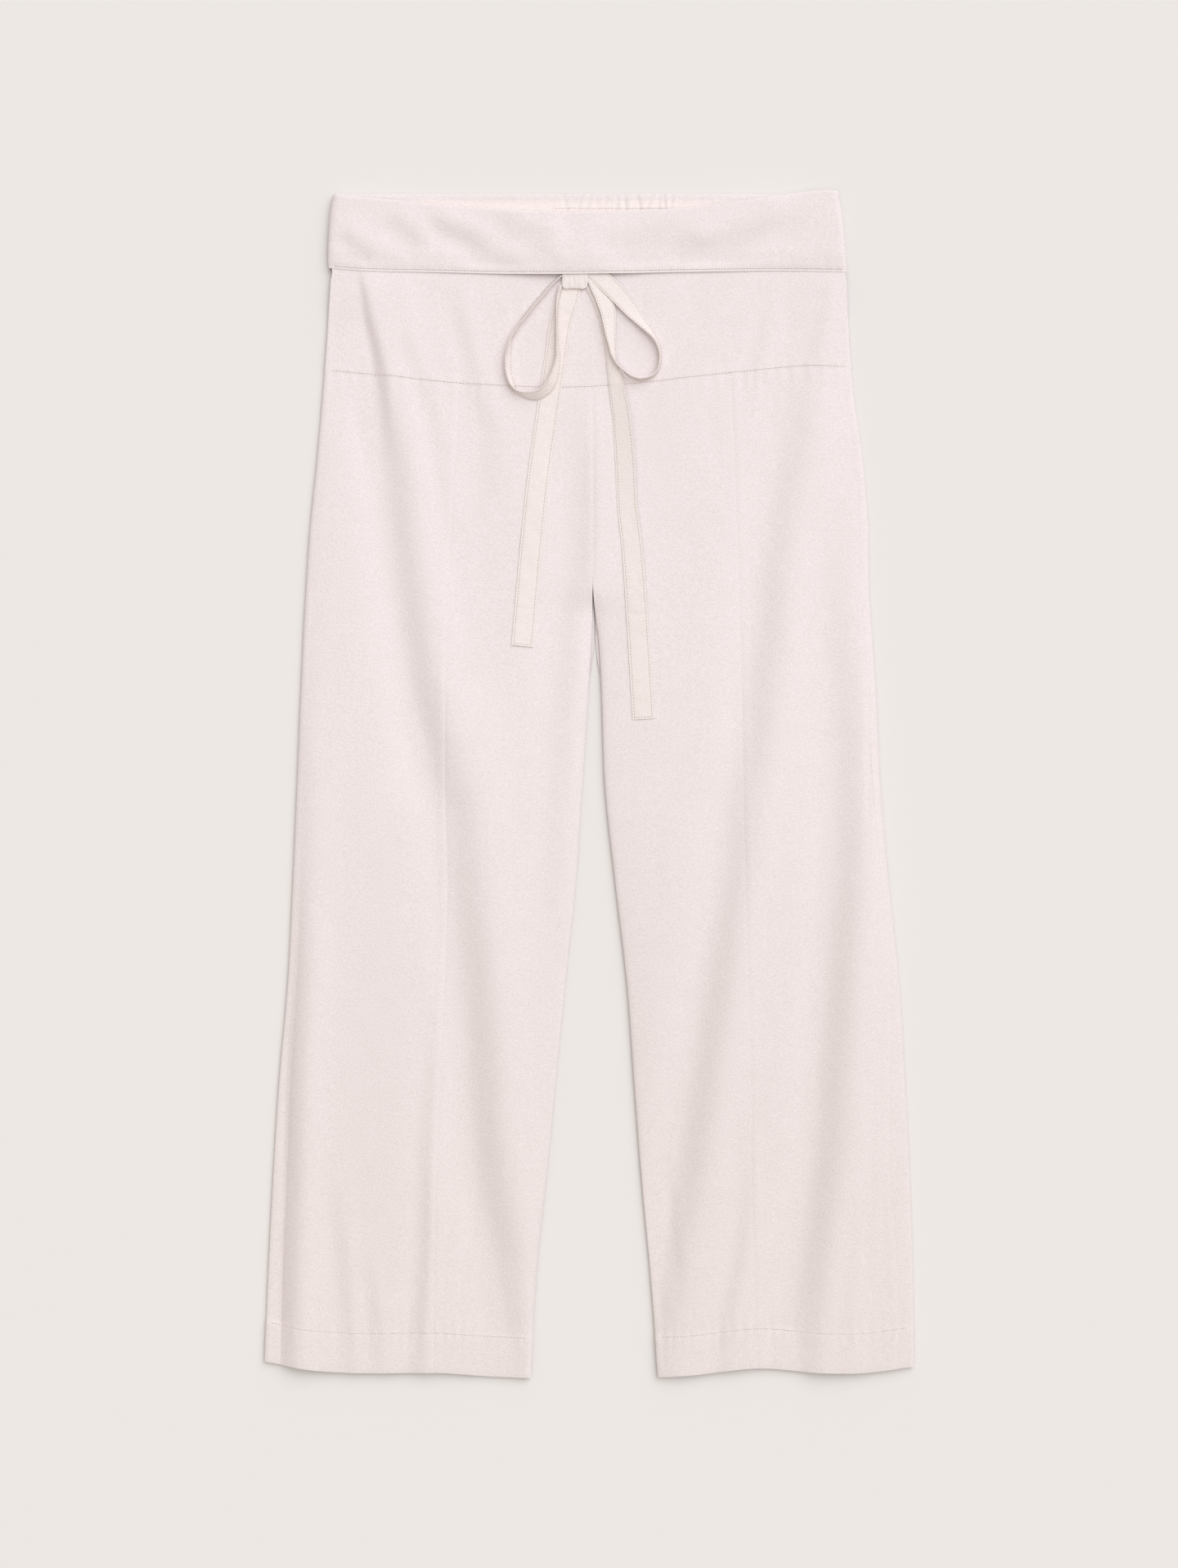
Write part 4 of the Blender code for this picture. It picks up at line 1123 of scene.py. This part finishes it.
def add_facing():
    """The creamier facing inside the back of the waist, below its turned edge."""
    x = np.repeat(np.linspace(-172, 168, 262)[None, :], 12, axis=0)
    y = np.repeat(np.linspace(956, 974.8, 12)[:, None], 262, axis=1)
    z = waist_main_height(x, y, False) + WALL / 2 + 0.17
    grid = np.stack([x, y, z], axis=-1)
    made = sheet_of_cloth("waist_facing", None, grid, "facing", 0.3, ("top", "bottom"))
    declare_sheet(made, grid, waist_back)


add_facing()
waist_front, grid = waist_panel("waist_with_flap", "waist_front", True, 250, 58, 34, 10)
declare_sheet(waist_front, grid, waist_back)

# %% [markdown]
# ## The tie
#
# The tie is a long narrow strip with both edges turned in and stitched. It runs round under the flap and ends
# in a bow: a knot, two loops that stand on edge, and two tails. The table of each stretch follows its upper
# edge, and says how far the lower edge lies to its left, how high it is lifted, and how far the upper
# edge rises.

# %% The tie's course
Strip = namedtuple("Strip", "x y across lift rise")
LOOP_RIGHT = [
    Strip(-22.5, 912.2, -1.0, 1.35, 2.0), Strip(-30.0, 905.3, -1.4, 0.8, 3.2),
    Strip(-40.0, 893.5, -2.2, 0.3, 4.6), Strip(-50.0, 881.3, -2.0, 0.0, 5.6),
    Strip(-58.0, 871.2, -0.9, 0.0, 6.2), Strip(-64.6, 860.5, 1.2, 0.0, 6.2),
    Strip(-68.3, 851.0, 3.8, 0.0, 5.8), Strip(-70.0, 840.0, 5.0, 0.0, 5.2),
    Strip(-68.6, 829.5, 4.6, 0.0, 5.0), Strip(-64.6, 821.0, 3.0, 0.1, 5.2),
    Strip(-58.5, 816.4, -1.5, 0.5, 5.4), Strip(-50.0, 815.3, -5.4, 0.8, 4.6),
    Strip(-43.5, 816.8, -7.2, 1.0, 5.6), Strip(-37.0, 822.0, -7.8, 1.1, 7.0),
    Strip(-31.5, 831.5, -6.4, 1.1, 5.8), Strip(-28.2, 843.0, -4.0, 1.1, 4.6),
    Strip(-27.0, 856.0, -1.2, 1.1, 5.6), Strip(-27.2, 876.0, -0.8, 1.1, 5.2),
    Strip(-26.6, 893.0, -1.2, 1.1, 3.8), Strip(-24.6, 905.0, -2.0, 1.1, 2.4),
]
LOOP_LEFT = [
    Strip(-2.8, 911.4, 13.5, 1.7, 0.4), Strip(10.0, 900.0, 14.4, 1.5, 0.8),
    Strip(20.0, 890.0, 14.2, 1.2, 1.4), Strip(30.0, 880.0, 12.0, 0.6, 2.4),
    Strip(40.0, 871.0, 8.0, 0.2, 3.8), Strip(50.0, 862.3, 4.0, 0.0, 5.4),
    Strip(55.6, 855.0, 2.4, 0.0, 6.0), Strip(58.0, 845.0, 1.6, 0.0, 6.0),
    Strip(57.2, 837.2, 1.2, 0.1, 6.0), Strip(53.8, 831.2, 1.2, 0.3, 5.8),
    Strip(48.5, 828.3, 1.6, 0.4, 5.6), Strip(42.0, 827.0, 2.2, 0.6, 5.4),
    Strip(35.0, 829.0, 2.0, 1.0, 5.2), Strip(28.5, 833.6, 1.0, 1.6, 5.0),
    Strip(22.0, 839.6, -1.0, 2.0, 4.4), Strip(18.0, 846.8, -3.8, 1.7, 4.0),
    Strip(15.2, 856.0, -6.6, 1.5, 3.6), Strip(12.4, 867.0, -9.8, 1.3, 3.0),
    Strip(9.6, 879.6, -12.4, 1.1, 2.6), Strip(5.4, 891.5, -13.0, 0.9, 2.2),
    Strip(1.0, 901.5, -11.0, 0.85, 1.8), Strip(-2.0, 909.0, -8.0, 0.85, 1.2),
]
TAIL_RIGHT = [
    Strip(-22.2, 908.5, 15.5, 0.0, 0.0),
    Strip(-25.0, 898.6, 17.0, 0.0, 0.0),
    Strip(-31.5, 880.0, 17.9, 0.0, 0.0),
    Strip(-37.0, 845.0, 18.0, 0.0, 0.0),
    Strip(-43.0, 804.3, 18.0, 0.0, 0.0),
    Strip(-51.8, 741.3, 18.0, 0.0, 0.0),
    Strip(-57.0, 690.0, 18.0, 0.0, 0.0),
    Strip(-64.5, 606.6, 18.0, 0.0, 0.0),
]
TAIL_LEFT = [
    Strip(-7.0, 908.5, 7.0, 0.0, 0.0),
    Strip(-2.2, 900.0, 7.5, 0.0, 0.0),
    Strip(6.5, 878.0, 8.5, 0.3, -0.4),
    Strip(13.0, 850.0, 8.5, 0.9, -0.7),
    Strip(14.6, 836.0, 9.8, 1.5, -1.3),
    Strip(15.8, 824.0, 11.8, 3.1, -2.9),
    Strip(18.5, 800.0, 14.5, 4.4, -4.2),
    Strip(21.2, 765.0, 16.0, 3.8, -3.6),
    Strip(23.0, 722.0, 16.4, 2.6, -2.5),
    Strip(26.5, 690.0, 17.0, 1.6, -1.5),
    Strip(30.3, 635.0, 17.8, 0.5, -0.5),
    Strip(35.8, 545.0, 18.0, 0.0, 0.0),
]
TIE_WIDTH = 18.0
TIE_WALL = 0.7
TIE_GAP = 0.12
FLAT_RISE = 6.0

# %% Laying a stretch of the tie
def strip_grid(rows, step=1.6, width_steps=12, seed=61, wrinkle=0.35):
    lengths = [0.0]
    for before, after in zip(rows, rows[1:]):
        lengths.append(lengths[-1] + float(np.hypot(after.x - before.x, after.y - before.y)))
    run = np.linspace(0, lengths[-1], int(lengths[-1] / step) + 1)
    x, y, across, lift, rise = (
        smooth(list(zip(lengths, [row[k] for row in rows])), run) for k in range(5)
    )
    ahead = np.hypot(np.gradient(x), np.gradient(y))
    side_x = -np.gradient(y) / ahead
    side_y = np.gradient(x) / ahead
    low_x = x + side_x * across
    low_y = y + side_y * across
    flatness = ease(1 - abs(rise) / FLAT_RISE)
    lines = []
    for share in np.linspace(0, 1, width_steps + 1):
        ripple = wrinkle * soft_noise(run, np.full(run.shape, share * TIE_WIDTH), 7, 9, seed)
        ripple = ripple + 0.5 * wrinkle * soft_noise(run + share * 9, run * 0, 15, 9, seed + 1)
        border = 0.18 * (np.exp(-(((share - 0.1) / 0.03) ** 2)) + np.exp(-(((share - 0.9) / 0.03) ** 2)))
        at_x = low_x + (x - low_x) * share
        at_y = low_y + (y - low_y) * share
        under = cloth_top(at_x, at_y) + TIE_GAP + TIE_WALL / 2
        base = cloth_top(low_x, low_y) + TIE_GAP + TIE_WALL / 2
        z = lift + flatness * under + (1 - flatness) * base + rise * share
        sideways = (1 - flatness) * ripple
        at_x = at_x + side_x * sideways
        at_y = at_y + side_y * sideways
        z = z + flatness * (abs(ripple) - border)
        lines.append(np.stack([at_x, at_y, z], axis=-1))
    return np.array(lines)


TIE_STRETCHES = {
    "tail_right": ("tie_tail_right", TAIL_RIGHT, 61),
    "tail_left": ("tie_tail_left", TAIL_LEFT, 71),
    "loop_right": ("tie_loop_right", LOOP_RIGHT, 81),
    "loop_left": ("tie_loop_left", LOOP_LEFT, 91),
}
tie_grids = {}
for name, (node, rows, seed) in TIE_STRETCHES.items():
    tie_grids[name] = strip_grid(rows, seed=seed)
    made = sheet_of_cloth(name, node, tie_grids[name], "tie", TIE_WALL, ("top", "bottom", "start", "end"))
    declare_sheet(made, tie_grids[name].transpose(1, 0, 2), waist_front)

# %% [markdown]
# Under the flap the tie is out of sight, so its two straight stretches are plain.

# %% The tie under the flap
def hidden_band(name, node, in_front):
    x = np.repeat(np.linspace(-200, 200, 101)[None, :], 7, axis=0)
    y = 924 + np.repeat(np.linspace(0, TIE_WIDTH, 7)[:, None], 101, axis=1)
    z = whole_front_height(x, y) + 0.78 if in_front else np.full(x.shape, SOLID_WALL / 2 + LAYER_STEP)
    grid = np.stack([x, y, z], axis=-1)
    made = sheet_of_cloth(name, node, grid, "tie", 0.4)
    declare_sheet(made, grid.transpose(1, 0, 2), waist_back)


hidden_band("band_in_front", "tie_band_front", True)
hidden_band("band_behind", "tie_band_back", False)

# %% [markdown]
# The knot is one turn of the tie wrapped over the others. It is a flattened roll whose surface has three
# soft creases along the wrap and a little drag across it.

# %% The knot
KNOT_LENGTH = 21.5
KNOT_DEPTH = 29.6
KNOT_THICKNESS = 3.3


def add_knot():
    steps = 64
    stations = np.linspace(-1, 1, 31)
    at = np.array([KNOT_X])
    base = float(cloth_top(at, np.array([KNOT_Y]))[0]) + TIE_GAP + TIE_WALL + 0.1
    angles = np.linspace(0, 2 * np.pi, steps, endpoint=False)
    points = []
    for station in stations:
        size = (1 - abs(station) ** 5) ** 0.5 * 0.35 + 0.65
        across = abs(np.cos(angles)) ** 0.8 * np.sign(np.cos(angles))
        up = abs(np.sin(angles)) ** 0.7 * np.sign(np.sin(angles))
        slant = station + 0.16 * across
        crease = sum(0.4 * np.exp(-(((slant - place) / 0.08) ** 2)) for place in (-0.62, -0.2, 0.12, 0.6))
        drag = 0.12 * np.sin(station * 9 + across * 6)
        height = up * (size * KNOT_THICKNESS / 2 - crease - drag * (up > 0))
        x = KNOT_X + station * KNOT_LENGTH / 2 + 0.5 * across
        hollow = 1.6 * (1 - station**2) * np.maximum(-across, 0)
        y = KNOT_Y + across * (size * KNOT_DEPTH / 2 - crease) + hollow
        points.append(np.stack([x, y, base + KNOT_THICKNESS / 2 + height], axis=-1))
    grid = np.array(points)
    faces = []
    for i in range(len(stations) - 1):
        for j in range(steps):
            after = (j + 1) % steps
            faces.append((i * steps + j, i * steps + after, (i + 1) * steps + after, (i + 1) * steps + j))
    faces.append(tuple(range(steps))[::-1])
    faces.append(tuple(range(len(stations) * steps - steps, len(stations) * steps)))
    made = object_from("bow_knot", grid.reshape(-1, 3), faces, "tie")
    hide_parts("tie_knot")


add_knot()

# %% [markdown]
# ## Stitching
#
# The rows of stitching are real thread: one low rounded dash for each stitch, every 2.6 mm. A texture could
# only paint them, and these catch the light and throw their own shadow. All dashes of one row are joined in
# one mesh, set along a path on the cloth's surface.

# %% One row of stitches
STITCH_PITCH = 2.6
STITCH_LENGTH = 1.9
STITCH_WIDTH = 0.6
STITCH_RISE = 0.26
DASH = np.array([
    (-0.5, -0.5, -0.3), (0.5, -0.5, -0.3), (0.5, 0.5, -0.3), (-0.5, 0.5, -0.3),
    (-0.3, -0.3, 1.0), (0.3, -0.3, 1.0), (0.3, 0.3, 1.0), (-0.3, 0.3, 1.0),
])
DASH_FACES = [(3, 2, 1, 0), (4, 5, 6, 7), (0, 1, 5, 4), (1, 2, 6, 5), (2, 3, 7, 6), (3, 0, 4, 7)]


def row_of_stitches(path, normals):
    """Corner points of a dash for each stitch along a path of surface points."""
    steps = np.linalg.norm(np.diff(path, axis=0), axis=1)
    run = np.concatenate([[0.0], np.cumsum(steps)])
    places = np.arange(STITCH_PITCH, run[-1] - STITCH_PITCH / 2, STITCH_PITCH)

    def at(values, where):
        return np.stack([np.interp(where, run, values[:, k]) for k in range(3)], axis=-1)

    middle = at(path, places)
    ahead = at(path, places + 0.8) - at(path, places - 0.8)
    ahead /= np.linalg.norm(ahead, axis=1)[:, None]
    up = at(normals, places)
    up /= np.linalg.norm(up, axis=1)[:, None]
    beside = np.cross(up, ahead)
    size = np.array([STITCH_LENGTH, STITCH_WIDTH, STITCH_RISE])
    corners = DASH * size
    return (
        middle[:, None]
        + ahead[:, None] * corners[None, :, :1]
        + beside[:, None] * corners[None, :, 1:2]
        + up[:, None] * corners[None, :, 2:]
    )


# Every dash takes the thread finish, whose darker colour is painted shade for the stitch holes.
def sew(name, rows):
    corners = np.concatenate(rows)
    faces = []
    for k in range(len(corners)):
        faces.extend(tuple(8 * k + corner for corner in face) for face in DASH_FACES)
    made = object_from(name, corners.reshape(-1, 3), faces, "thread")
    print(name, len(corners), "stitches")


# %% Rows on the waist and the hems
def flat_row(x, y, height_at):
    """A row over laid cloth: its points, and normals that lean with the cloth."""
    z = height_at(x, y) + WALL / 2
    lean_x = (height_at(x + 0.8, y) - height_at(x - 0.8, y)) / 1.6
    lean_y = (height_at(x, y + 0.8) - height_at(x, y - 0.8)) / 1.6
    normals = np.stack([-lean_x, -lean_y, np.ones(x.shape)], axis=-1)
    return row_of_stitches(np.stack([x, y, z], axis=-1), normals)


def flap_surface(x, y):
    return waist_flap_height(x, y, True)


x = np.arange(-212, 210.5, 1.0)
sew("flap_hem_stitches", [flat_row(x, smooth(FLAP_HEM, x) + 2.1, flap_surface)])
x = np.arange(-214, 214.5, 1.0)
sew("yoke_stitches", [flat_row(x, smooth(YOKE_SEAM, x) + 1.9, whole_front_height)])

x = np.arange(-30, 66, 1.0)


def facing_surface(x, y):
    return waist_main_height(x, y, False) + 0.32


sew("facing_stitches", [flat_row(x, np.full(x.shape, 968.6), facing_surface)])

hem_rows = []
for side in ("right", "left"):
    way = -1 if side == "right" else 1
    inner = float(section(side + "_inner", 36.0))
    outer = float(section(side + "_outer", 36.0))
    x = np.arange(min(inner, outer) + 4, max(inner, outer) - 4, 1.0)

    def surface(x, y, side=side):
        middle = front_height(side, x, y)
        distance = abs(x - section(side + "_inner", y)) - WALL / 2
        wall = walls_of(side, x, y)
        return rolled(middle, meeting_height(side, x, y, True), distance, 1.0) + (wall - WALL) / 2

    hem_rows.append(flat_row(x, hem_line(side, x) + HEM_STITCH, surface))
sew("leg_hem_stitches", hem_rows)

# %% Rows along both edges of the tie
def tie_rows(grid, both_faces):
    """Rows near both edges of a stretch, and across its free end."""
    along = np.gradient(grid, axis=1)
    across = np.gradient(grid, axis=0)
    normals = np.cross(along, across)
    normals /= np.linalg.norm(normals, axis=-1)[..., None]
    if normals[..., 2].mean() < 0:
        normals = -normals
    count = grid.shape[0] - 1
    rows = []
    for share in (0.1, 0.9):
        k = share * count
        low = int(k)
        part = k - low
        path = grid[low] * (1 - part) + grid[low + 1] * part
        up = normals[low] * (1 - part) + normals[low + 1] * part
        rows.append(row_of_stitches(path + up * TIE_WALL / 2, up))
        if both_faces:
            rows.append(row_of_stitches(path - up * TIE_WALL / 2, -up))
    if not both_faces:
        path = grid[:, -2]
        rows.append(row_of_stitches(path + normals[:, -2] * TIE_WALL / 2, normals[:, -2]))
    return rows


tie_stitches = []
for name, grid in tie_grids.items():
    tie_stitches.extend(tie_rows(grid, name.startswith("loop")))
sew("tie_stitches", tie_stitches)
